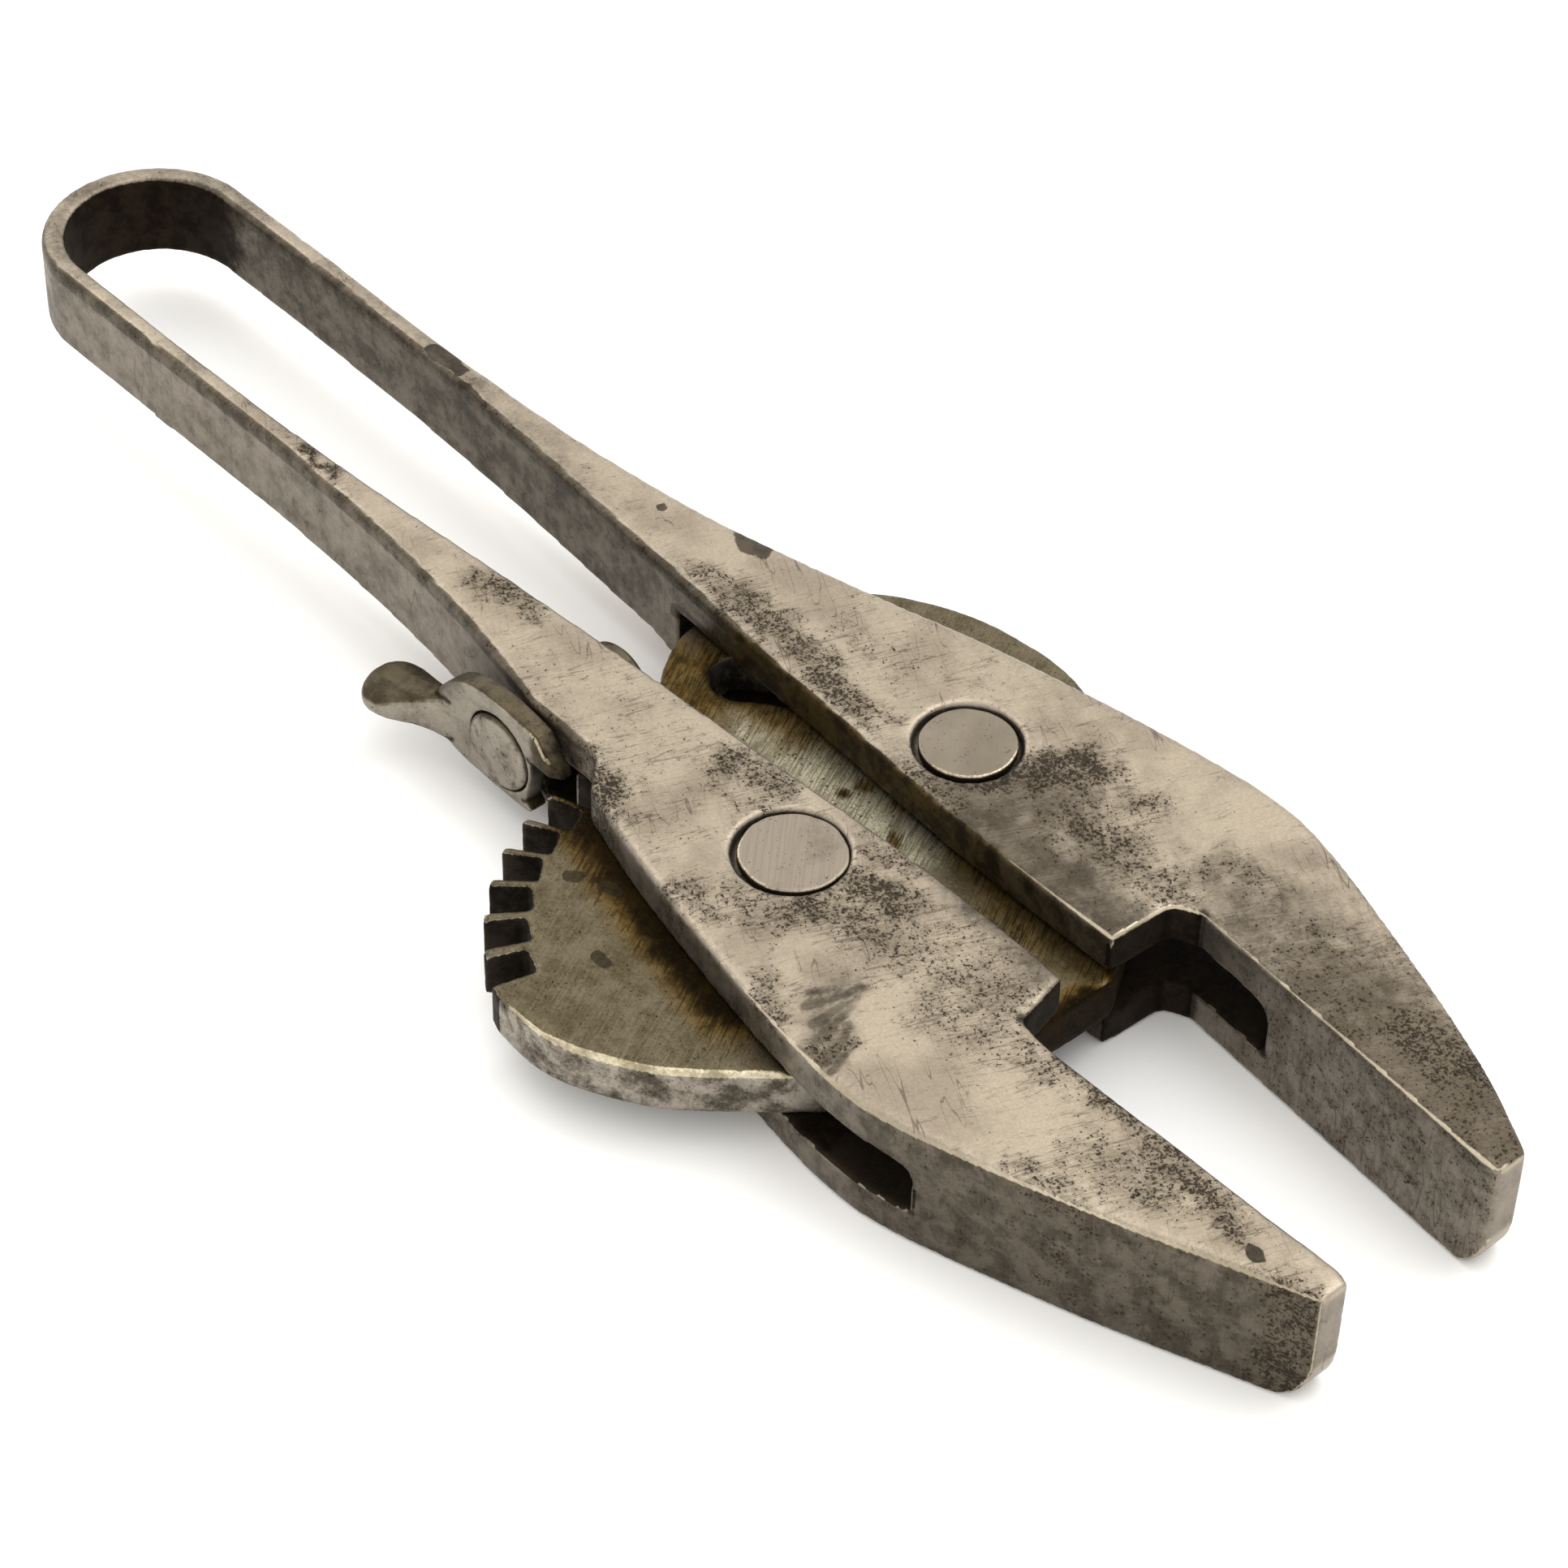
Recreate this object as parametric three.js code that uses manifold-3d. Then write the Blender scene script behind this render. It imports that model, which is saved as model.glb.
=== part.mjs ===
// Adjustable cam wrench: a sprung U frame whose two jaws are spread and closed by a toothed
// cam plate. The plate turns on a rivet in the near arm, a spiral slot in it carries the rivet
// of the far arm, and a pawl on the near arm drops between its teeth.
// Millimetres. +X runs from the bow to the jaw tips, +Y from the near arm to the far arm,
// +Z up. While building, x = 0 lies on the two rivets and y = 0 midway between the arms.
import * as THREE from 'three';
import * as BufferGeometryUtils from 'three/addons/utils/BufferGeometryUtils.js';
import Module from 'manifold-3d';

// Frame
const JAW_HEIGHT = 12.7;      // height of the forging at the jaws
const STRAP_HEIGHT = 8.8;     // height of the spring strap, flush with the top
const STRAP_WIDTH = 2.2;      // thickness of the strap across its bend
const BOW_RADIUS = 9.3;       // middle of the strap in the bow
const BOW_X = -101.6;         // centre of the bow
const ARM_ROOT_X = -88;       // where the arms begin and swing
const ROOT_GAP = 0.3;         // joint line between bow and arm
const EDGE_BEVEL = 0.35;      // broken top edges
const TIP_X = 62.2;           // flat end of the jaws
const TIP_WIDTH = 2.9;        // flat width of that end
const TIP_CHAMFER = 1.3;      // inner corner of the tip
const TIP_ROUND = 3.5;        // rounded lower corner of the tip
const TAPER_X = -8;           // the underside climbs from here back to the strap
const TAPER_KNEE_X = -27;
const TAPER_END_X = -36;
const KNEE_SHARE = 0.564;     // share of that climb made at the knee

// Edges of an arm as [x, distance from the middle plane], shared by both arms
const INNER_EDGE = [[-73, 7.95], [-57, 7.1], [-40, 5.75], [-25, 4.7], [-10, 3.9], [4, 3.0], [16, 2.8]];
const OUTER_EDGE = [[-70, 10.3], [-56, 10.75], [-45, 11.7], [-34, 13.4], [-20, 16.8], [-8, 20.1], [4, 22.6],
  [14, 24.3], [22, 25.0], [28, 24.3]];
// Outer edge of the jaws as [distance back from the tip, distance from the middle plane]
const JAW_EDGE = [[26.2, 21.9], [16.2, 18.5], [7.2, 14.9]];
// Notch of each arm: lip, back corner and heel of the jaw. Its face runs on to the toe, set back from the tip
const NEAR_JAW = { lip: [25.0, 3.1], back: [26.2, 8.8], heel: [30.5, 9.3], toe: { setback: 1.8, y: 8.7 } };
const FAR_JAW = { lip: [24.6, 2.9], back: [25.0, 9.5], heel: [27.4, 10.5], toe: { setback: 1.6, y: 7.7 } };

// Slots through the arms
const SLOT_CHEEK = 4.1;       // metal left above the slots
const SLOT_HEIGHT = 5.0;
const SLOT_CORNER = 2.3;      // upper front corner left by the cutter
const SLOT_FRONT_X = 36.2;    // front end, measured at SLOT_FRONT_Y
const SLOT_FRONT_Y = 9.4;
const SLOT_SLANT = 0.45;      // the front end runs back this much per mm outwards
const NEAR_SLOT_BACK_X = -26.1;
const FAR_SLOT_BACK_X = -31.5;

// Rivets
const RIVET_Y = 10.1;         // half their spacing with the jaws closed
const PIVOT_R = 3.0;
const FOLLOWER_R = 2.7;
const PIVOT_HEAD_R = 4.45;
const FOLLOWER_HEAD_R = 4.25;
const HEAD_HEIGHT = 0.9;
const RING_WIDTH = 0.5;       // open ring between a head and its recess
const RIVET_FIT = 0.2;        // rivet to arm
const FLUSH = 0.1;            // heads lie this far under the faces

// Cam plate
const PLATE_FIT = 0.2;        // plate to the floor and roof of the slots
const PLATE_BEVEL = 0.2;
const BORE_FIT = 0.1;         // plate bore to pivot
const TRACK_FIT = 0.15;       // spiral slot to follower
const TOOTH_COUNT = 6;
const TOOTH_PITCH = 9.2;      // degrees
const FIRST_GAP = 195.2;      // direction of the gap under the pawl, degrees
const GAP_FLOOR = 2.5;        // width of a gap at its floor
const GAP_MOUTH = 2.95;
const TOOTH_DEPTH = 3.75;
const TRACK_SWEEP = 55.2;     // turn that the spiral slot allows, degrees
const ARM_SWING = 1.95;       // degrees each arm swings over that turn
const FRONT_X = 25.1;         // straight end of the plate, level with the notch
const FRONT_Y = [-6, 3.2];
// Rim of the teeth as [pitches past the first gap, distance from the pivot], counter-clockwise
const TOOTH_RIM = [[-0.57, 22.7], [0.41, 23.0], [2.37, 24.3], [4.33, 25.4], [5.3, 26.1], [6.39, 26.9],
  [6.7, 27.0]];
// The rest of the rim as [direction, distance from the pivot]
const FAR_RIM = [[42, 28.6], [59, 29.8], [76, 31.7], [85, 33.9], [92, 35.8], [99.5, 37.0], [110.5, 38.0],
  [120, 38.3], [128, 38.0], [139, 36.9], [148, 35.1], [154.5, 32.9], [159.5, 29.8], [162.5, 27.3],
  [167, 24.7], [174, 23.2], [184, 22.7]];
const NEAR_RIM = [[267, 26.5], [276, 25.5], [289, 23.8], [299, 22.5], [310, 21.5], [320, 21.3],
  [336, 22.0], [350, 23.6]];

// Pawl, its outline measured from the pin
const PAWL_X = -29.6;
const PAWL_DROP = 5.7;        // axis of the pin below the top face
const PAWL_THICKNESS = 2.0;
const PAWL_BEVEL = 0.25;
const ARM_SIDE = 14.75;       // flat on the near arm beside the pawl
// Relief of the arm there as [x, distance out from that flat], its shoulder clear of the pawl's nose
const RELIEF = [[-39.5, -1.6], [-36, -0.5], [-32, 0], [-24, 0], [-19.6, 0.1], [-18.2, 1.3], [-15.6, 4.0],
  [-14.8, 6]];
const PAWL_GAP = 0.3;         // pawl to arm
const PAWL_LIFT = 0.25;       // nose to the top of the plate
const HUB_FRONT_X = 4.25;     // clear of the plate's rim with the jaws open
const DOG_TOE_X = 7.8;        // end of the nose's dog, which drops between the teeth
const DOG_THIN_X = 6.6;       // from here to its toe the outer face is cut back
const DOG_THINNED = 0.8;
const DOG_RELIEF = { x: 6.4, z: 2.6, depth: 0.45 };  // behind the toe the inner face is cut back
const NOSE_FRONT = [[7.5, 2.5], [6.3, 3.5]];
const PAWL_BACK = [[5.1, 5.1], [2.9, 5.5], [0.5, 5.7], [-2.5, 5.6], [-5.5, 4.5], [-7.7, 2.4], [-8.8, 0.3]];
const PAWL_BELLY = [[-8.6, -3.0], [-5.5, -4.2], [-0.5, -4.55], [3.9, -4.5]];
const PAWL_HEEL = [[4.3, -4.1], [3.5, -3.4], [3.95, -1.6], [HUB_FRONT_X, 0]];
const JOURNAL_R = 3.74;
const JOURNAL_PROUD = 0.4;
const SHANK_R = 2.6;
const PIN_HEAD_R = 3.9;
const PIN_HEAD_HEIGHT = 2.1;
const PIN_SEAT = 0.25;        // pin head to arm
// Thumb tab, lofted from an upright section in the pawl to a flat pad that stands out from it:
// x from the pin, then the section's reach outwards from the pawl's inner face and its heights
const TAB_SECTIONS = [
  { x: -4.0, y: [0.3, 1.7], z: [-3.6, 3.2] },
  { x: -5.8, y: [0.1, 2.0], z: [-4.0, 2.4] },
  { x: -7.6, y: [0.0, 2.6], z: [-3.8, 1.4] },
  { x: -9.2, y: [0.0, 3.9], z: [-3.0, 0.9] },
  { x: -10.9, y: [0.0, 5.9], z: [-2.2, 0.75] },
  { x: -12.6, y: [0.1, 6.6], z: [-1.7, 0.7] },
  { x: -14.0, y: [0.6, 5.9], z: [-1.3, 0.55] },
  { x: -14.8, y: [1.6, 4.6], z: [-0.9, 0.35] },
  { x: -15.1, y: [2.6, 3.6], z: [-0.5, 0.1] }];
const TAB_SQUARENESS = 2.8;   // exponent of the sections, 2 for an ellipse

const wasm = await Module();
wasm.setup();

const rad = THREE.MathUtils.degToRad;
const v2 = (x, y) => new THREE.Vector2(x, y);
const ROUND = 48;

// --- solids -------------------------------------------------------------------------------

function solid(geometry) {
  const bare = geometry.index ? geometry.toNonIndexed() : geometry.clone();
  bare.deleteAttribute('normal');
  bare.deleteAttribute('uv');
  const merged = BufferGeometryUtils.mergeVertices(bare, 1e-5);
  return new wasm.Manifold(new wasm.Mesh({
    numProp: 3,
    vertProperties: new Float32Array(merged.attributes.position.array),
    triVerts: new Uint32Array(merged.index.array),
  }));
}

function toGeometry(manifold) {
  const mesh = manifold.getMesh();
  const geometry = new THREE.BufferGeometry();
  geometry.setAttribute('position', new THREE.BufferAttribute(new Float32Array(mesh.vertProperties), 3));
  geometry.setIndex(new THREE.BufferAttribute(new Uint32Array(mesh.triVerts), 1));
  geometry.computeVertexNormals();
  return geometry;
}

// Plan outline raised from z0 to z1, its edges broken by bevel
function raise(shape, z0, z1, bevel = 0, segments = 2) {
  const geometry = new THREE.ExtrudeGeometry(shape, {
    depth: z1 - z0 - 2 * bevel,
    bevelEnabled: bevel > 0,
    bevelThickness: bevel,
    bevelSize: bevel,
    bevelOffset: -bevel,
    bevelSegments: segments,
    curveSegments: 24,
  });
  return geometry.translate(0, 0, z0 + bevel);
}

// Side outline in x and z carried across from y0 to y1
function carry(shape, y0, y1, bevel = 0) {
  return raise(shape, 0, y1 - y0, bevel).rotateX(Math.PI / 2).translate(0, y1, 0);
}

// Profile of [radius, height] turned about z
function turned(profile) {
  return new THREE.LatheGeometry(profile.map(([r, z]) => v2(r, z)), ROUND).rotateX(Math.PI / 2);
}

function disc(x, y, radius, z0, z1) {
  return turned([[0, z0], [radius, z0], [radius, z1], [0, z1]]).translate(x, y, 0);
}

// Skin over a row of equal rings of points, closed by a fan at each end
function loft(rings) {
  const count = rings[0].length;
  const centre = (ring) => ring.reduce((sum, p) => sum.add(p), new THREE.Vector3()).divideScalar(count);
  const points = [...rings.flat(), centre(rings[0]), centre(rings[rings.length - 1])];
  const startCentre = points.length - 2;
  const last = (rings.length - 1) * count;
  const index = [];
  for (let k = 0; k < count; k++) {
    const next = (k + 1) % count;
    for (let start = 0; start < last; start += count) {
      index.push(start + k, start + next, start + count + k);
      index.push(start + next, start + count + next, start + count + k);
    }
    index.push(startCentre, next, k, startCentre + 1, last + k, last + next);
  }
  return new THREE.BufferGeometry().setFromPoints(points).setIndex(index);
}

function smooth(points, steps) {
  return new THREE.SplineCurve(points.map(([x, y]) => v2(x, y))).getPoints(steps);
}

// --- frame --------------------------------------------------------------------------------

const strapInner = BOW_RADIUS - STRAP_WIDTH / 2;
const strapOuter = BOW_RADIUS + STRAP_WIDTH / 2;
const strapFloor = JAW_HEIGHT - STRAP_HEIGHT;
const slotRoof = JAW_HEIGHT - SLOT_CHEEK;
const slotFloor = slotRoof - SLOT_HEIGHT;
const plateFloor = slotFloor + PLATE_FIT;
const plateRoof = slotRoof - PLATE_FIT;

function bowSpring() {
  const end = ARM_ROOT_X - ROOT_GAP;
  const bow = new THREE.Shape();
  bow.moveTo(end, -strapOuter);
  bow.lineTo(end, -strapInner);
  bow.lineTo(BOW_X, -strapInner);
  bow.absarc(BOW_X, 0, strapInner, -Math.PI / 2, Math.PI / 2, true);
  bow.lineTo(end, strapInner);
  bow.lineTo(end, strapOuter);
  bow.lineTo(BOW_X, strapOuter);
  bow.absarc(BOW_X, 0, strapOuter, Math.PI / 2, -Math.PI / 2, false);
  return raise(bow, strapFloor, JAW_HEIGHT, EDGE_BEVEL);
}

// Outline of an arm on the far side of the middle plane
function armOutline(jaw) {
  const inner = smooth([[ARM_ROOT_X, strapInner], ...INNER_EDGE, jaw.lip], 44);
  const tipInner = jaw.toe.y + TIP_CHAMFER * 0.4;
  const outer = smooth([
    [ARM_ROOT_X, strapOuter], ...OUTER_EDGE, ...JAW_EDGE.map(([back, y]) => [TIP_X - back, y]),
    [TIP_X, tipInner + TIP_WIDTH]], 72);
  const corner = smooth([
    [jaw.back[0], jaw.back[1] - 0.6],
    [jaw.back[0] + 0.5, jaw.back[1] + 0.1],
    jaw.heel], 6);
  return new THREE.Shape([
    ...inner, ...corner, v2(TIP_X - jaw.toe.setback, jaw.toe.y),
    v2(TIP_X - 0.3 * TIP_CHAMFER, jaw.toe.y + 0.1 * TIP_CHAMFER), v2(TIP_X, tipInner),
    ...outer.reverse()]);
}

// Side view shared by the arms: flat top, underside climbing to the strap, rounded lower tip
function sideView() {
  const side = new THREE.Shape();
  side.moveTo(ARM_ROOT_X, JAW_HEIGHT);
  side.lineTo(ARM_ROOT_X, strapFloor);
  side.lineTo(TAPER_END_X, strapFloor);
  side.lineTo(TAPER_KNEE_X, strapFloor * KNEE_SHARE);
  side.lineTo(TAPER_X, 0);
  side.lineTo(TIP_X - TIP_ROUND, 0);
  side.quadraticCurveTo(TIP_X - 0.6, 0, TIP_X, TIP_ROUND * 1.3);
  side.lineTo(TIP_X, JAW_HEIGHT);
  return side;
}

// The milled slot that takes the plate, sheared so that its front end is slanted
function armSlot(backX) {
  const slot = new THREE.Shape();
  slot.moveTo(backX, slotFloor);
  slot.lineTo(SLOT_FRONT_X, slotFloor);
  slot.lineTo(SLOT_FRONT_X, slotRoof - SLOT_CORNER);
  slot.quadraticCurveTo(SLOT_FRONT_X, slotRoof, SLOT_FRONT_X - SLOT_CORNER, slotRoof);
  slot.lineTo(backX, slotRoof);
  const geometry = carry(slot, -5, 45);
  const position = geometry.attributes.position;
  for (let i = 0; i < position.count; i++) {
    if (position.getX(i) > 0) {
      position.setX(i, position.getX(i) - (position.getY(i) - SLOT_FRONT_Y) * SLOT_SLANT);
    }
  }
  return geometry;
}

function arm(jaw, slotBackX, rivetR, headR) {
  const blank = solid(raise(armOutline(jaw), -2, JAW_HEIGHT, EDGE_BEVEL));
  const sided = blank.intersect(solid(carry(sideView(), -5, 45)));
  const recessR = headR + RING_WIDTH;
  const recess = HEAD_HEIGHT + FLUSH + RIVET_FIT;
  return sided
    .subtract(solid(armSlot(slotBackX)))
    .subtract(solid(disc(0, RIVET_Y, rivetR + RIVET_FIT, -1, JAW_HEIGHT + 1)))
    .subtract(solid(disc(0, RIVET_Y, recessR, JAW_HEIGHT - recess, JAW_HEIGHT + 1)))
    .subtract(solid(disc(0, RIVET_Y, recessR, -1, recess)));
}

function rivet(side, shankR, headR) {
  const low = FLUSH;
  const high = JAW_HEIGHT - FLUSH;
  const brink = 0.2;
  return turned([
    [0, low], [headR - brink, low], [headR, low + brink], [headR, low + HEAD_HEIGHT],
    [shankR, low + HEAD_HEIGHT], [shankR, high - HEAD_HEIGHT],
    [headR, high - HEAD_HEIGHT], [headR, high - brink], [headR - brink, high], [0, high],
  ]).translate(0, side * RIVET_Y, 0);
}

// --- cam plate ----------------------------------------------------------------------------

const pivot = v2(0, -RIVET_Y);

// Seat of the far rivet in the plate, for a share of the whole turn: the path that the slot follows
function followerSeat(share) {
  const swing = rad(ARM_SWING) * share;
  const turn = -rad(TRACK_SWEEP) * share - swing;
  const near = v2(0, -RIVET_Y).rotateAround(v2(ARM_ROOT_X, -BOW_RADIUS), -swing);
  const far = v2(0, RIVET_Y).rotateAround(v2(ARM_ROOT_X, BOW_RADIUS), swing);
  return far.sub(near).rotateAround(v2(0, 0), -turn).add(pivot);
}

function camTrack(halfWidth) {
  const steps = 20;
  const seats = Array.from({ length: steps + 1 }, (_, i) => followerSeat(i / steps));
  const heading = (i) => seats[Math.min(i + 1, steps)].clone().sub(seats[Math.max(i - 1, 0)]).angle();
  const beside = (i, angle) => v2(halfWidth, 0).rotateAround(v2(0, 0), heading(i) + angle).add(seats[i]);
  const cap = (i, from) => Array.from({ length: 9 }, (_, k) => beside(i, from + (k + 1) * Math.PI / 10));
  const right = seats.map((_, i) => beside(i, -Math.PI / 2));
  const left = seats.map((_, i) => beside(i, Math.PI / 2)).reverse();
  return new THREE.Path([...right, ...cap(steps, -Math.PI / 2), ...left, ...cap(0, Math.PI / 2)]);
}

const polar = (degrees, radius) => v2(Math.cos(rad(degrees)), Math.sin(rad(degrees)))
  .multiplyScalar(radius).add(pivot);

const toothRim = TOOTH_RIM.map(([pitches, radius]) => [FIRST_GAP + pitches * TOOTH_PITCH, radius]);

function rimRadius(degrees) {
  const above = toothRim.findIndex(([angle]) => angle > degrees);
  const [a0, r0] = toothRim[above - 1];
  const [a1, r1] = toothRim[above];
  return THREE.MathUtils.mapLinear(degrees, a0, a1, r0, r1);
}

// One gap between teeth: mouth, floor, floor, mouth
function toothGap(index) {
  const centre = FIRST_GAP + index * TOOTH_PITCH;
  const rim = rimRadius(centre);
  const floor = rim - TOOTH_DEPTH;
  const at = (radius, width) => centre + THREE.MathUtils.radToDeg(width / 2 / radius);
  const back = (radius, width) => centre - THREE.MathUtils.radToDeg(width / 2 / radius);
  return [
    polar(back(rim, GAP_MOUTH), rimRadius(back(rim, GAP_MOUTH))),
    polar(back(floor, GAP_FLOOR), floor), polar(at(floor, GAP_FLOOR), floor),
    polar(at(rim, GAP_MOUTH), rimRadius(at(rim, GAP_MOUTH)))];
}

function camPlate() {
  const arc = (stations, steps) => smooth(stations.map(([angle, r]) => polar(angle, r).toArray()), steps);
  const gaps = Array.from({ length: TOOTH_COUNT + 1 }, (_, i) => toothGap(i)).flat();
  const nearSide = [polar(...toothRim.at(-2)), ...arc([toothRim.at(-1), ...NEAR_RIM], 36)];
  const front = [v2(FRONT_X, FRONT_Y[0]), v2(FRONT_X, FRONT_Y[1])];
  const outline = new THREE.Shape([
    ...front, ...arc(FAR_RIM, 68), polar(...toothRim[0]), ...gaps, ...nearSide]);
  const bore = new THREE.Path().absarc(pivot.x, pivot.y, PIVOT_R + BORE_FIT, 0, 2 * Math.PI, true);
  outline.holes.push(new THREE.Path(bore.getPoints(24).slice(0, -1)), camTrack(FOLLOWER_R + TRACK_FIT));
  return raise(outline, plateFloor, plateRoof, PLATE_BEVEL, 1);
}

// --- pawl ---------------------------------------------------------------------------------

const pawlZ = JAW_HEIGHT - PAWL_DROP;
const pawlInner = ARM_SIDE + PAWL_GAP;
const pawlOuter = pawlInner + PAWL_THICKNESS;

function thumbTab() {
  const edge = (end) => new THREE.CatmullRomCurve3(
    TAB_SECTIONS.map(({ x, y, z }) => new THREE.Vector3(x, y[end], z[end])),
    false, 'catmullrom').getPoints(20);
  const high = edge(1);
  const bulge = (value) => Math.sign(value) * Math.abs(value) ** (2 / TAB_SQUARENESS);
  const rings = edge(0).map((low, i) => Array.from({ length: 20 }, (_, k) => {
    const angle = k / 20 * 2 * Math.PI;
    const middle = low.clone().add(high[i]).divideScalar(2);
    const half = high[i].clone().sub(middle);
    return new THREE.Vector3(
      low.x,
      -pawlInner - middle.y - half.y * bulge(Math.cos(angle)),
      middle.z + half.z * bulge(Math.sin(angle)));
  }));
  return loft(rings);
}

function pawl() {
  const dogFloor = plateRoof + PAWL_LIFT - pawlZ;
  const corners = (points) => points.map(([x, z]) => v2(x, z));
  const side = new THREE.Shape([
    v2(HUB_FRONT_X, dogFloor), v2(DOG_TOE_X, dogFloor), ...corners(NOSE_FRONT),
    ...smooth(PAWL_BACK, 24), ...smooth(PAWL_BELLY, 8), ...corners(PAWL_HEEL)]);
  const thinned = new THREE.Shape(corners([
    [DOG_THIN_X, -pawlOuter], [DOG_TOE_X, -pawlOuter + DOG_THINNED], [DOG_TOE_X + 1, -pawlOuter - 1],
    [DOG_THIN_X, -pawlOuter - 1]]));
  const relieved = new THREE.Shape(corners([
    [HUB_FRONT_X - 0.5, 0], [DOG_RELIEF.x, 0], [DOG_RELIEF.x, DOG_RELIEF.z],
    [HUB_FRONT_X - 0.5, DOG_RELIEF.z]]));
  const hole = turned([[0, 0], [JOURNAL_R + BORE_FIT, 0], [JOURNAL_R + BORE_FIT, 20], [0, 20]])
    .rotateX(Math.PI / 2).translate(0, -pawlInner + 5, 0);
  return solid(carry(side, -pawlOuter, -pawlInner, PAWL_BEVEL))
    .subtract(solid(raise(thinned, -pawlZ, pawlZ)))
    .subtract(solid(carry(relieved, -pawlInner - DOG_RELIEF.depth, -pawlInner + 1)))
    .add(solid(thumbTab()))
    .subtract(solid(hole))
    .translate([PAWL_X, 0, pawlZ]);
}

// Shank through the near arm, headed inside it, with a wider journal outside for the pawl
function pawlPin() {
  const inside = innerEdgeAt(PAWL_X + PIN_HEAD_R) - PIN_SEAT;
  const top = inside - PIN_HEAD_HEIGHT;
  const journal = ARM_SIDE + RIVET_FIT;
  const end = pawlOuter + JOURNAL_PROUD;
  const profile = [
    [0, top], [PIN_HEAD_R * 0.6, top + 0.1], [PIN_HEAD_R * 0.88, top + 0.35], [PIN_HEAD_R, top + 0.8],
    [PIN_HEAD_R, inside], [SHANK_R, inside], [SHANK_R, journal], [JOURNAL_R, journal],
    [JOURNAL_R, end - 0.35], [JOURNAL_R - 0.4, end - 0.08], [0, end]];
  return turned(profile).rotateX(Math.PI / 2).translate(PAWL_X, 0, pawlZ);
}

function innerEdgeAt(x) {
  const edge = smooth([[ARM_ROOT_X, strapInner], ...INNER_EDGE], 200);
  return edge.reduce((best, p) => (Math.abs(p.x - x) < Math.abs(best.x - x) ? p : best)).y;
}

// The near arm is relieved beside the pawl and bored for its pin
function nearArm() {
  const relief = new THREE.Shape(smooth(RELIEF.map(([x, out]) => [x, ARM_SIDE + out]), 30));
  relief.lineTo(RELIEF.at(-1)[0], 2 * ARM_SIDE);
  relief.lineTo(RELIEF[0][0], 2 * ARM_SIDE);
  const bore = turned([[0, 0], [SHANK_R + RIVET_FIT, 0], [SHANK_R + RIVET_FIT, 30], [0, 30]])
    .rotateX(-Math.PI / 2).translate(PAWL_X, 0, pawlZ);
  return arm(NEAR_JAW, NEAR_SLOT_BACK_X, PIVOT_R, PIVOT_HEAD_R)
    .subtract(solid(raise(relief, -3, JAW_HEIGHT + 3)))
    .subtract(solid(bore))
    .mirror([0, 1, 0]);
}

// --- assembly -----------------------------------------------------------------------------

const group = new THREE.Group();

function add(name, geometry, color, roughness) {
  const material = new THREE.MeshStandardMaterial({ color, roughness, metalness: 0.9 });
  const mesh = new THREE.Mesh(geometry, material);
  mesh.name = name;
  group.add(mesh);
}

const groundSteel = '#b5ab9b';
const darkSteel = '#6f6a62';
add('bow_spring', bowSpring(), groundSteel, 0.45);
add('near_arm', toGeometry(nearArm()), groundSteel, 0.42);
add('far_arm', toGeometry(arm(FAR_JAW, FAR_SLOT_BACK_X, FOLLOWER_R, FOLLOWER_HEAD_R)), groundSteel, 0.42);
add('cam_plate', camPlate(), darkSteel, 0.5);
add('cam_pivot_rivet', rivet(-1, PIVOT_R, PIVOT_HEAD_R), groundSteel, 0.38);
add('follower_rivet', rivet(1, FOLLOWER_R, FOLLOWER_HEAD_R), groundSteel, 0.38);
add('pawl', toGeometry(pawl()), darkSteel, 0.45);
add('pawl_pin', pawlPin(), groundSteel, 0.42);

// The origin is the middle of the footprint
const box = new THREE.Box3().setFromObject(group);
group.position.set(-(box.min.x + box.max.x) / 2, -(box.min.y + box.max.y) / 2, -box.min.z);

export default group;
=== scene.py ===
import bmesh
import bpy
import numpy as np
from mathutils import Matrix, Vector, noise
from mathutils.kdtree import KDTree


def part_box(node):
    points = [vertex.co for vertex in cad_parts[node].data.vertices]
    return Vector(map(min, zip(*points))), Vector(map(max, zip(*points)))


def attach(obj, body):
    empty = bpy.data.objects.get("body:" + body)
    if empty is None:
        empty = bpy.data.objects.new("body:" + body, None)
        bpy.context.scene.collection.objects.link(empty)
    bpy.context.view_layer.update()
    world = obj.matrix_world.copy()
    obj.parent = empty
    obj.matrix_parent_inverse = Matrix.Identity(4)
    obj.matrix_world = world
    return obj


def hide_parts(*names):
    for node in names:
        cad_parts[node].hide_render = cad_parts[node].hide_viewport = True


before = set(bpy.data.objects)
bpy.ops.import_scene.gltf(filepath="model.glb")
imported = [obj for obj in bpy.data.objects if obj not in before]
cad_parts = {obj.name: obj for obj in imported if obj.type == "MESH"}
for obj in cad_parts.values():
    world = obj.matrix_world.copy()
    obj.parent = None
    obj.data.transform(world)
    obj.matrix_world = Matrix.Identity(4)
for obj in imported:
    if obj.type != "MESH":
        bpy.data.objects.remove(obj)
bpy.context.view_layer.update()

mm = 0.001


def linear(hexColor):        # sRGB hex to the linear colour that Blender works in
    parts = [int(hexColor[i:i + 2], 16) / 255 for i in (1, 3, 5)]
    return [c / 12.92 if c <= 0.04045 else ((c + 0.055) / 1.055) ** 2.4 for c in parts] + [1.0]


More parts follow.
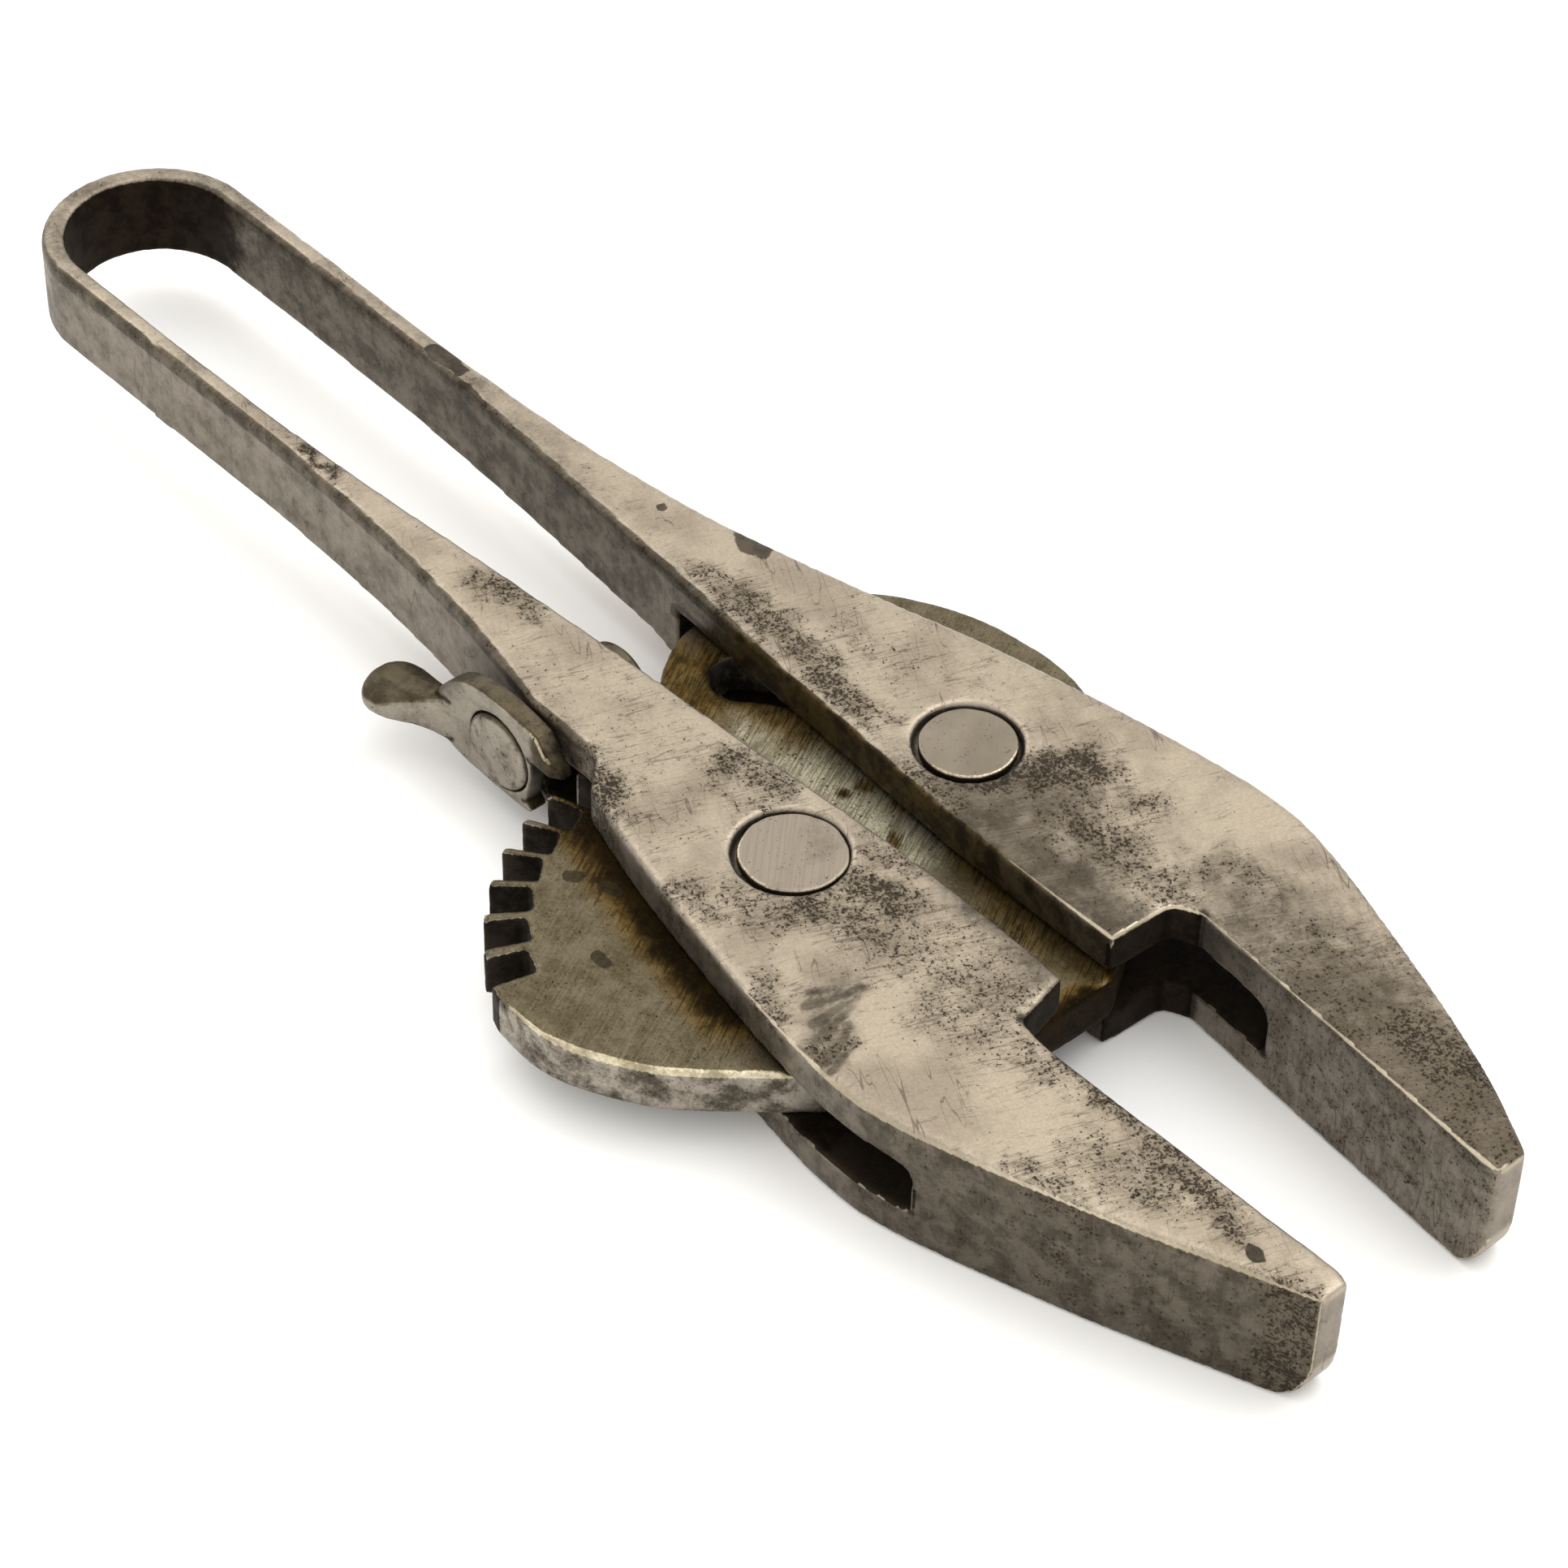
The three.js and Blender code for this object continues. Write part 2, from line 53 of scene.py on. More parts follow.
def addNode(tree, kind, settings, links=None):
    # lower-case settings are the node's own, the rest are its inputs, by name or number
    node = tree.nodes.new(kind)
    for key, value in settings.items():
        if isinstance(key, str) and key[0].islower():
            setattr(node, key, value)

    def socket(key):
        if isinstance(key, int):
            return node.inputs[key]
        return next(s for s in node.inputs if s.enabled and s.name == key)

    for key, value in settings.items():
        if isinstance(key, int) or not key[0].islower():
            isHex = isinstance(value, str) and value.startswith("#")
            socket(key).default_value = linear(value) if isHex else value
    for key, source in (links or {}).items():
        if isinstance(source, bpy.types.Node):
            source = next(s for s in source.outputs if s.enabled)
        tree.links.new(source, socket(key))
    return node


def newObject(name, data):
    made = bpy.data.objects.new(name, data)
    bpy.context.scene.collection.objects.link(made)
    return made


viewpoint = {        # metres; right, up and back are the camera's own axes
    "place": (0.230618, -0.198396, 0.290806),
    "right": (0.66822156, 0.74366644, 0.02098031),
    "up": (-0.52478693, 0.45118321, 0.72182573),
    "back": (0.52733161, -0.49335, 0.69175678),
    "lens": 110.34,        # mm, like the sensor
    "sensor": 36.0,
    "nearest": 0.01,       # what is nearer than this is not seen
}

studio = {
    "floorSize": 5.0,
    "floorColor": "#fbfbfa",
    "floorRoughness": 0.9,
    "skyColor": "#fffdfa",
    "skyStrength": 1.4,
    "lamps": [        # place and size in metres, power in watts
        {"name": "overheadSoftbox", "place": (0.10, 0.45, 0.80), "size": 0.8, "power": 3.0},
        {"name": "sideSoftbox", "place": (-0.70, 0.10, 0.60), "size": 0.5, "power": 1.0},
    ],
}


def placeCamera(view):
    camera = newObject("camera", bpy.data.cameras.new("camera"))
    turn = Matrix([view["right"], view["up"], view["back"]]).transposed().to_4x4()
    camera.matrix_world = Matrix.Translation(view["place"]) @ turn
    camera.data.lens = view["lens"]
    camera.data.sensor_width = view["sensor"]
    camera.data.clip_start = view["nearest"]
    bpy.context.scene.camera = camera


def lightStudio(studio):
    world = bpy.data.worlds.new("paleStudio")
    bpy.context.scene.world = world
    world.use_nodes = True
    sky = world.node_tree.nodes["Background"]
    sky.inputs["Color"].default_value = linear(studio["skyColor"])
    sky.inputs["Strength"].default_value = studio["skyStrength"]
    for lamp in studio["lamps"]:
        light = bpy.data.lights.new(lamp["name"], "AREA")
        light.shape = "DISK"
        light.size = lamp["size"]
        light.energy = lamp["power"]
        made = newObject(lamp["name"], light)
        made.location = lamp["place"]
        made.rotation_euler = Vector(lamp["place"]).to_track_quat("Z", "Y").to_euler()


def layFloor(studio):
    half = studio["floorSize"] / 2
    mesh = bpy.data.meshes.new("floor")
    corners = [(-half, -half, 0), (half, -half, 0), (half, half, 0), (-half, half, 0)]
    mesh.from_pydata(corners, [], [(0, 1, 2, 3)])
    paper = bpy.data.materials.new("mattPaper")
    paper.use_nodes = True
    shader = paper.node_tree.nodes["Principled BSDF"]
    shader.inputs["Base Color"].default_value = linear(studio["floorColor"])
    shader.inputs["Roughness"].default_value = studio["floorRoughness"]
    mesh.materials.append(paper)
    newObject("floor", mesh)


placeCamera(viewpoint)
lightStudio(studio)
layFloor(studio)
bpy.context.scene.view_settings.view_transform = "Standard"
print("camera, light and floor are in")

# Steel, its finish built up in layers, from the oldest to the newest. The patterns have their grain in
# mm along x, y and z: lines are the thin ridges of a stretched pattern, and dots stand alone, one in a
# cell of the grain, some larger than others
steelPatterns = {
    "cloud": {"grain": (8, 8, 8), "detail": 4, "rough": 0.6},
    "blot": {"grain": (2.4, 2.4, 2.4), "detail": 7, "rough": 0.7, "twist": 0.15},
    "speck": {"grain": (0.55, 0.55, 0.55), "detail": 6, "rough": 0.78},
    "fleck": {"grain": (0.26, 0.26, 0.26), "detail": 2, "rough": 0.6},
    "brush": {"grain": (0.16, 5.0, 3.0), "detail": 3, "rough": 0.6, "turn": -0.5},
    "score": {"grain": (0.8, 8.0, 9.0), "detail": 2, "rough": 0.5, "turn": -0.35, "line": True},
    "scar": {"grain": (9.0, 1.1, 9.0), "detail": 1, "rough": 0.4, "turn": -0.5, "line": True},
    "pit": {"grain": (0.42, 0.42, 0.42), "dots": True},
    "prick": {"grain": (0.24, 0.24, 0.24), "dots": True},
}
dotShake = 0.3 * mm        # how far the outline of a dot is shaken out of round
dotReach = 0.7             # radius of the largest dots, in cells
reliefScale = 1 * mm       # height of a relief of 1
noiseSpan = (0.3, 0.7)     # most of a pattern's values lie in it
usualSpan = (0.4, 0.6)     # of its values, over which a layer's first colour gives way to its second

# what the wear leaves on a piece, with the painted shade and highlights that ride on it: how far it is to a
# corner and to a crease, in mm, and the rest as shares
steelTraces = ("edgeGap", "creaseGap", "dressed", "soilAndShade", "filmAndShading", "rustAndShadow", "spot", "grimeAndShade", "polishAndHighlight")


def layeredSteel(name, patterns, layers, grit):
    steel = bpy.data.materials.new(name)
    steel.use_nodes = True
    tree = steel.node_tree
    shader = tree.nodes["Principled BSDF"]

    def add(kind, settings, links=None):
        return addNode(tree, "ShaderNode" + kind, settings, links)

    where = add("TexCoord", {})
    facing = add("SeparateXYZ", {}, {0: where.outputs["Normal"]}).outputs["Z"]
    fields = {"level": add("Math", {"operation": "ABSOLUTE"}, {0: facing})}        # 1 on the broad faces
    for key, pattern in patterns.items():
        place = where.outputs["Object"]
        if pattern.get("dots"):        # ragged outlines: the place is shaken a little first
            place = add("VectorMath", {"operation": "MULTIPLY_ADD", 1: [dotShake] * 3},
                        {0: fields["fleck"].outputs["Color"], 2: place})
        spread = add("Mapping", {"vector_type": "TEXTURE", "Rotation": (0, 0, pattern.get("turn", 0)),
                                 "Scale": [size * mm for size in pattern["grain"]]}, {"Vector": place})
        if pattern.get("dots"):
            cells = add("TexVoronoi", {"Scale": 1.0}, {"Vector": spread})
            luck = add("SeparateColor", {}, {"Color": cells.outputs["Color"]})
            reach = add("Math", {"operation": "MULTIPLY", 1: dotReach}, {0: luck})
            fields[key] = add("Math", {"operation": "SUBTRACT"}, {0: reach, 1: cells.outputs["Distance"]})
            continue
        made = add("TexNoise", {"Scale": 1.0, "Detail": pattern["detail"], "Roughness": pattern["rough"],
                                "Distortion": pattern.get("twist", 0)}, {"Vector": spread})
        if pattern.get("line"):        # distance from the ridge, 0 on the line itself
            made = add("Math", {"operation": "SUBTRACT", 1: 0.5}, {0: made})
            made = add("Math", {"operation": "ABSOLUTE"}, {0: made})
        fields[key] = made
    for key in steelTraces:
        fields[key] = add("Attribute", {"attribute_name": key}).outputs["Fac"]

    color = surface = None
    for layer in layers:
        first, second, by, *span = layer["color"]
        low, high = span or usualSpan
        turnOver = add("MapRange", {"interpolation_type": "SMOOTHSTEP", "From Min": low, "From Max": high},
                       {"Value": fields[by]})
        tint = add("Mix", {"data_type": "RGBA", "A": first, "B": second}, {"Factor": turnOver})
        feel = (layer["rough"], layer.get("metal", 1.0), layer.get("depth", 0), 1)
        if color is None:
            color, surface = tint, add("Mix", {"data_type": "RGBA", "A": feel, "B": feel})
            continue
        total = None
        for key, weight in layer["where"].items():
            total = add("Math", {"operation": "MULTIPLY_ADD", 1: weight, 2: 0.0},
                        {0: fields[key], 2: total} if total else {0: fields[key]})
        low, high = layer["between"]
        mask = add("MapRange", {"interpolation_type": "SMOOTHSTEP", "From Min": low, "From Max": high,
                                "To Max": layer.get("most", 1.0)}, {"Value": total})
        color = add("Mix", {"data_type": "RGBA"}, {"Factor": mask, "A": color, "B": tint})
        surface = add("Mix", {"data_type": "RGBA", "B": feel}, {"Factor": mask, "A": surface})

    parts = add("SeparateColor", {}, {"Color": surface})
    (low, high), tone = noiseSpan, grit["tone"]
    shade = add("MapRange", {"From Min": low, "From Max": high, "To Min": 1 - tone, "To Max": 1 + tone},
                {"Value": fields[grit["by"]]})
    color = add("VectorMath", {"operation": "SCALE"}, {0: color, "Scale": shade})
    relief = add("Math", {"operation": "MULTIPLY_ADD", 1: grit["depth"]},
                 {0: fields["fleck"], 2: parts.outputs["Blue"]})
    bump = add("Bump", {"Strength": 1.0, "Distance": reliefScale}, {"Height": relief})
    for socket, source in (("Base Color", color), ("Roughness", parts.outputs["Red"]),
                           ("Metallic", parts.outputs["Green"]), ("Normal", bump)):
        tree.links.new(source if isinstance(source, bpy.types.NodeSocket) else source.outputs[0],
                       shader.inputs[socket])
    print("made", name)
    return steel


# A layer has two colours and the pattern that mixes them. It lies where the weighted sum of patterns
# and traces passes between two values, and changes roughness, metal and height there as well

# Bare forged steel, ground flat on its broad faces and left as forged on the flanks: pale warm
# silver on top, mottled grey-brown at the sides, freckled with old rust and bright at the corners, partly
# with a painted highlight
forgedLayers = [
    # as forged
    {"color": ("#857d72", "#655d52", "blot", 0.36, 0.68), "rough": 0.5},
    # ground broad faces, paler towards their edges
    {"color": ("#a19684", "#8d8272", "cloud", 0.40, 0.62),
     "where": {"level": 1.0, "dressed": 1.0, "blot": 0.15},
     "between": (0.72, 0.98), "rough": 0.40},
    {"color": ("#ada394", "#95897a", "speck"),
     "where": {"edgeGap": -0.6, "blot": 1.4, "level": 1.0},
     "between": (0.5, 1.6), "most": 0.4, "rough": 0.36},
    # a dark film of oil, also carrying painted shade on the flanks that face each other and on the near
    # arm's flank towards its jaw, and the file's lines, in which the oil stays
    {"color": ("#625a4f", "#3b362d", "blot", 0.38, 0.62),
     "where": {"filmAndShading": 1.0, "blot": 0.5, "cloud": 0.5, "speck": 0.5},
     "between": (0.80, 1.75), "most": 0.95, "rough": 0.5},
    {"color": ("#564d40", "#453d32", "brush"),
     "where": {"brush": 1.6, "filmAndShading": 0.35, "level": 1.0, "blot": 0.5},
     "between": (2.25, 2.75), "most": 0.6, "rough": 0.5},
    # grey stains, deepened by painted shade on the near arm's flank, then scores that run across the arms
    # and scars that run along them
    {"color": ("#6b6152", "#52493c", "speck"),
     "where": {"soilAndShade": 0.9, "blot": 1.6, "brush": 1.0, "speck": 0.7},
     "between": (1.80, 2.70), "most": 0.75, "rough": 0.5, "depth": -0.003},
    {"color": ("#5f564a", "#473f34", "cloud"), "where": {"score": -34.0, "soilAndShade": 0.7, "blot": 1.8},
     "between": (0.55, 1.05), "most": 0.55, "rough": 0.5, "depth": -0.01},
    {"color": ("#5f564a", "#473f34", "cloud"), "where": {"scar": -40.0, "cloud": 2.2},
     "between": (0.80, 1.25), "most": 0.6, "rough": 0.5, "depth": -0.01},
    # rust, partly painted shade on the far arm's inner flank, then freckles and pits, and single larger
    # spots
    {"color": ("#54441f", "#271c0b", "blot"), "where": {"rustAndShadow": 1.0, "blot": 0.9, "cloud": 0.4},
     "between": (0.85, 1.65), "most": 0.88, "rough": 0.6, "metal": 0.95},
    {"color": ("#3d352b", "#251f18", "fleck"),
     "where": {"speck": 1.0, "fleck": 0.5, "prick": 0.25, "soilAndShade": 0.31, "blot": 0.40},
     "between": (1.195, 1.275), "most": 0.9, "rough": 0.65, "metal": 0.92, "depth": -0.015},
    {"color": ("#3d352b", "#251f18", "fleck"),
     "where": {"pit": 1.0, "soilAndShade": 0.3, "blot": 1.1, "filmAndShading": 0.1},
     "between": (1.05, 1.20), "most": 0.85, "rough": 0.65, "metal": 0.92, "depth": -0.02},
    {"color": ("#463d33", "#2e2720", "blot"), "where": {"spot": 1.0, "blot": 0.6},
     "between": (0.72, 0.86), "most": 0.92, "rough": 0.55, "metal": 0.9, "depth": -0.02},
    # dirt in creases; dirt and painted shade in the slots, the notch and the bend; and corners rubbed
    # bright, partly a painted highlight
    {"color": ("#281f15", "#18110a", "blot"), "where": {"grimeAndShade": 1.0, "blot": 0.7},
     "between": (0.45, 1.05), "most": 0.95, "rough": 0.75, "metal": 0.95},
    {"color": ("#1f170e", "#120c06", "blot"), "where": {"creaseGap": -1.0, "blot": 0.8},
     "between": (-0.4, 0.25), "most": 0.75, "rough": 0.8, "metal": 0.95},
    {"color": ("#bdb29c", "#9c927c", "cloud"),
     "where": {"edgeGap": -1.7, "polishAndHighlight": 1.0, "cloud": 0.5, "speck": 0.5},
     "between": (0.98, 1.24), "most": 0.9, "rough": 0.27},
]
forgedSteel = layeredSteel("oldForgedSteel", steelPatterns, forgedLayers,
                           {"by": "fleck", "tone": 0.10, "depth": 0.012})

# Cold-rolled plate, filed and handled: duller and browner than the arms, rust creeping out from
# under them with painted shadow at their edges, its rim peened
platePatterns = dict(
    steelPatterns,
    brush={"grain": (0.16, 3.4, 3.0), "detail": 3, "rough": 0.6, "turn": 0.45},
    score={"grain": (0.42, 7.0, 9.0), "detail": 2, "rough": 0.5, "turn": 0.5, "line": True})
plateLayers = [
    # the rim, then the filed faces, their paler lines, and the lane that is left grey, painted paler to
    # offset the shade between the arms
    {"color": ("#9a9286", "#4c453b", "blot", 0.38, 0.64), "rough": 0.5},
    {"color": ("#635a47", "#4e4634", "blot", 0.36, 0.64), "where": {"level": 1.0},
     "between": (0.6, 0.9), "rough": 0.42},
    {"color": ("#7b7462", "#68604c", "cloud", 0.36, 0.64),
     "where": {"brush": 1.0, "cloud": 1.0, "level": 0.5},
     "between": (1.45, 1.70), "most": 0.5, "rough": 0.38},
    {"color": ("#a8a28c", "#79735f", "brush", 0.42, 0.58), "where": {"filmAndShading": 1.0, "blot": 1.4, "speck": 0.6},
     "between": (1.35, 1.95), "most": 0.9, "rough": 0.4},
    # golden rust, scores, and the dark rust over them, which beside the arms is also painted shadow
    {"color": ("#6a5425", "#4a3710", "blot", 0.35, 0.65), "where": {"rustAndShadow": 1.0, "blot": 0.7, "cloud": 0.7},
     "between": (0.85, 1.95), "most": 0.9, "rough": 0.55, "metal": 0.95},
    {"color": ("#2f2817", "#1f190d", "cloud"),
     "where": {"score": -10.0, "cloud": 1.2, "rustAndShadow": 0.45},
     "between": (0.55, 0.85), "most": 0.75, "rough": 0.5, "depth": -0.01},
    {"color": ("#2b1e09", "#171004", "blot"), "where": {"rustAndShadow": 1.0, "blot": 1.1, "speck": 0.4},
     "between": (1.50, 2.45), "most": 0.95, "rough": 0.75, "metal": 0.95},
    # pits and spots, painted shade with some dirt between the teeth and in the slot, and corners rubbed
    # bright, partly a painted highlight
    {"color": ("#2f2817", "#1d170e", "fleck"), "where": {"pit": 1.0, "blot": 1.0, "filmAndShading": 0.15},
     "between": (0.90, 1.08), "most": 0.75, "rough": 0.65, "metal": 0.95, "depth": -0.03},
    {"color": ("#3a3224", "#241e14", "fleck"), "where": {"prick": 1.0, "blot": 0.8, "speck": 0.6},
     "between": (0.88, 1.10), "most": 0.6, "rough": 0.65, "metal": 0.95, "depth": -0.02},
    {"color": ("#332b1c", "#272014", "blot"), "where": {"spot": 1.0, "blot": 0.6},
     "between": (0.72, 0.86), "most": 0.8, "rough": 0.6, "metal": 0.9, "depth": -0.02},
    {"color": ("#221910", "#130d07", "blot"), "where": {"grimeAndShade": 1.0, "blot": 0.4},
     "between": (0.5, 0.95), "most": 0.93, "rough": 0.75, "metal": 0.95},
    {"color": ("#cfc4a8", "#978d74", "blot", 0.38, 0.6),
     "where": {"edgeGap": -1.7, "polishAndHighlight": 0.9, "cloud": 0.5, "speck": 0.6},
     "between": (1.0, 1.28), "most": 0.9, "rough": 0.25},
]
plateSteel = layeredSteel("filedPlateSteel", platePatterns, plateLayers,
                          {"by": "fleck", "tone": 0.16, "depth": 0.02})

# Small forged lever: smooth grey from the thumb, brown above, below and in its creases
pawlLayers = [
    {"color": ("#8e877b", "#686054", "blot", 0.40, 0.70), "rough": 0.42},
    {"color": ("#4d4330", "#31291a", "blot"), "where": {"level": 1.0, "blot": 0.6},
     "between": (0.55, 1.0), "most": 0.88, "rough": 0.5, "metal": 0.97},
    {"color": ("#332b20", "#231c14", "fleck"), "where": {"pit": 1.0, "blot": 1.0},
     "between": (0.85, 1.0), "most": 0.6, "rough": 0.7, "metal": 0.95, "depth": -0.02},
    {"color": ("#241c14", "#17110b", "blot"), "where": {"creaseGap": -1.6, "blot": 0.8},
     "between": (-0.3, 0.3), "most": 0.8, "rough": 0.8, "metal": 0.9},
    {"color": ("#46361a", "#281c0a", "blot"), "where": {"rustAndShadow": 1.0, "blot": 0.6},
     "between": (0.7, 1.1), "most": 0.85, "rough": 0.65, "metal": 0.9},
    # corners rubbed bright, partly a painted highlight
    {"color": ("#bdb29c", "#8d836e", "speck"),
     "where": {"edgeGap": -3.0, "polishAndHighlight": 0.8, "cloud": 0.8, "speck": 1.0},
     "between": (1.02, 1.40), "most": 0.85, "rough": 0.27},
]
pawlSteel = layeredSteel("handledSteel", steelPatterns, pawlLayers,
                         {"by": "fleck", "tone": 0.08, "depth": 0.01})

# Soft iron rivets, faced flush with the arms: clean grey with the lines of the file
rivetPatterns = dict(
    steelPatterns,
    brush={"grain": (0.14, 9.0, 2.0), "detail": 3, "rough": 0.6, "turn": 0.75})
rivetLayers = [
    {"color": ("#918779", "#83796c", "brush"), "rough": 0.38},
    {"color": ("#7b7264", "#6d6456", "cloud"),
     "where": {"cloud": 1.0, "blot": 0.5, "filmAndShading": 0.4},
     "between": (0.74, 0.95), "most": 0.75, "rough": 0.45},
    {"color": ("#42392e", "#28221a", "fleck"), "where": {"prick": 1.0, "blot": 1.2},
     "between": (0.92, 1.05), "most": 0.7, "rough": 0.7, "metal": 0.6, "depth": -0.01},
    {"color": ("#251d13", "#19120a", "blot"), "where": {"level": -1.0, "blot": 0.2},
     "between": (-0.6, -0.2), "most": 0.92, "rough": 0.7, "metal": 0.9},
    # its corner rubbed bright, with a painted highlight on part of it
    {"color": ("#b9ae98", "#8d836e", "fleck"),
     "where": {"edgeGap": -4.0, "polishAndHighlight": 1.0, "speck": 1.4},
     "between": (1.10, 1.45), "most": 0.9, "rough": 0.27},
]
rivetIron = layeredSteel("filedRivetIron", rivetPatterns, rivetLayers,
                         {"by": "brush", "tone": 0.10, "depth": 0.004})

# Wear: even copies of the pieces, their corners rubbed round and their faces dressed

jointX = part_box("near_arm")[0][0]        # where the arms part from the bow: they are one forging
overlap = 1 * mm           # how far they reach past it while they are worn
planeSlack = 0.05 * mm     # a corner this near a plane counts as in it
rimSlack = 0.01 * mm       # and this near the reached-out end, it is not worn
weldGap = 0.002 * mm
cornerStep = 0.06 * mm     # between the points that stand for a corner
sharpAngle = 0.35          # radians between two faces that make a corner of their edge
bareAngle = 0.8            # radians from which a corner has no rounding in the solid
ridgeStrip = 0.4 * mm      # width of the faces beside the middle line of a rounding, at most
noiseFade, noiseStep = 0.8, 2.1        # how each octave is fainter and finer than the last
# where in the noise each of them begins
noisePlace = {"waves": 5.0, "dents": 9.0, "ragged": (20.0, 40.0), "patches": 30.0}
raggedSize = 2.5 * mm      # of the shakes in a stroke's outline
squarely = 0.7             # a normal with this along an axis faces along it
turning = (0.4, 0.8)       # and between these a flank turns towards it


def joinedMesh(nodeName):        # the node's loose triangles as one closed surface
    shape = bmesh.new()
    shape.from_mesh(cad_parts[nodeName].data)
    bmesh.ops.remove_doubles(shape, verts=shape.verts, dist=weldGap)
    return shape


def cornerPoints(shape, isCorner):
    points = [Vector((9, 9, 9))]        # far away, so that a piece without such corners has a tree too
    for edge in shape.edges:
        if len(edge.link_faces) == 2 and edge.calc_face_angle() > sharpAngle and isCorner(edge):
            start, end = (v.co for v in edge.verts)
            count = max(1, round((end - start).length / cornerStep))
            points += [start.lerp(end, k / count) for k in range(count + 1)]
    return treeOf(points)


def isRidge(edge):        # the middle line of a rounded corner, or an unrounded one
    strip = max(2 * face.calc_area() / edge.calc_length() for face in edge.link_faces)
    return edge.is_convex and (strip < ridgeStrip or edge.calc_face_angle() > bareAngle)


def treeOf(points):
    tree = KDTree(len(points))
    for i, point in enumerate(points):
        tree.insert(point, i)
    tree.balance()
    return tree


def gaps(tree, points):
    return np.array([tree.find(point)[2] for point in points]) / mm


def ontoRidge(tree, points, reach):        # closes the nicks that even squares leave along a corner
    found = [tree.find(point) for point in points]
    return np.array([ridge if gap < reach else point
                     for point, (ridge, _, gap) in zip(points, found)])


def evenCopy(shape, cell):        # the same surface in even squares, corners kept
    mesh = bpy.data.meshes.new("joined")
    shape.to_mesh(mesh)
    made = newObject("even", mesh)
    size = max(made.dimensions)
    depth = int(np.ceil(np.log2(size / cell)))
    remesh = made.modifiers.new("even", "REMESH")
    remesh.mode = "SHARP"
    remesh.octree_depth = depth
    remesh.scale = size / cell / 2 ** depth
    remesh.use_remove_disconnected = False
    bpy.context.view_layer.update()
    even = bpy.data.meshes.new_from_object(made.evaluated_get(bpy.context.evaluated_depsgraph_get()))
    bpy.data.objects.remove(made)
    return even


def readVectors(mesh, name):
    values = np.empty(len(mesh.vertices) * 3)
    mesh.vertices.foreach_get(name, values)
    return values.reshape(-1, 3)


def ramp(values, low, high):
    share = np.clip((values - low) / (high - low), 0, 1)
    return share * share * (3 - 2 * share)


def facingUp(normals):        # 1 where a surface faces up, less where it turns aside
    return ramp(normals[:, 2], 0.4, 0.7)


def facingAside(normals):        # and the same for an upright one
    return ramp(-np.abs(normals[:, 2]), -0.6, -0.3)


def softNoise(points, size, octaves=3, offset=0.0):
    aside = Vector((offset, 0, 0))
    return np.array([noise.fractal(Vector(p) / size + aside, noiseFade, noiseStep, octaves)
                     for p in points])


# strokes run from x, y to x, y in mm, with a radius and a strength, or a strength for each end; they
# are at full strength out to half their radius and gone at two and a half times it
def marks(points, strokes, ragged=0.0):
    flat = points[:, :2] / mm
    if ragged:
        shakes = [softNoise(points, raggedSize, 3, place) for place in noisePlace["ragged"]]
        flat = flat + ragged * np.stack(shakes, 1)
    value = np.zeros(len(points))
    for x0, y0, x1, y1, radius, *strength in strokes:
        start, along = np.array([x0, y0]), np.array([x1 - x0, y1 - y0])
        share = np.clip((flat - start) @ along / max(along @ along, 1e-9), 0, 1)[:, None]
        distance = np.linalg.norm(flat - start - share * along, axis=1)
        level = strength[0] + (strength[-1] - strength[0]) * share[:, 0]
        value = np.maximum(value, level * np.clip(1.25 - distance / (2.0 * radius), 0, 1))
    return value


def path(stations, radius=0.9):        # strokes through a row of stations: x, y and strength
    return [(*start[:2], *end[:2], radius, start[2], end[2])
            for start, end in zip(stations, stations[1:])]


# the bow and the arms reach past their joint while they are worn and are then cut off at it, so that
# the surface runs straight across; pieces that lie clear of it only have their faces made smooth
def pastJoint(shape):
    places = [v.co.x for v in shape.verts]
    end, outward = (max(places), 1) if max(places) < jointX + overlap else (min(places), -1)
    for v in shape.verts:
        if abs(v.co.x - end) < planeSlack:
            v.co.x = jointX + outward * overlap
    return shape


def cutJoint(mesh):
    shape = bmesh.new()
    shape.from_mesh(mesh)
    outward = 1 if sum(v.co.x for v in shape.verts) < jointX * len(shape.verts) else -1
    everything = shape.verts[:] + shape.edges[:] + shape.faces[:]
    bmesh.ops.bisect_plane(shape, geom=everything, plane_co=(jointX, 0, 0), plane_no=(outward, 0, 0),
                           clear_outer=True)
    rim = [edge for edge in shape.edges if edge.is_boundary]
    for edge in rim:
        edge.smooth = False
    bmesh.ops.holes_fill(shape, edges=rim, sides=0)
    for face in shape.faces:
        face.smooth = True
    shape.to_mesh(mesh)
    shape.free()


handWear = {
    "cell": 0.32 * mm,            # the even copy's squares, and how many of them from a corner
    "ridgeReach": 0.6,            # its points are drawn onto it
    "rounding": 0.55 * mm,        # how far from a corner the metal is worn round
    "uneven": 0.6,                # share by which that varies
    "unevenSize": 2.2 * mm,
    "rub": 0.5,                   # share of the way towards its neighbours that a corner goes in a pass
    "passes": 6,
    "waviness": 0.035 * mm,       # hand-dressed faces are not quite flat
    "waveSize": 7 * mm,
    "dents": 0.10 * mm,
    "dentSize": 1.6 * mm,
    "dentsOver": 0.25,            # where the noise is over this there is a dent
    "dentReach": 1.2,             # and only within this many mm of a corner
}


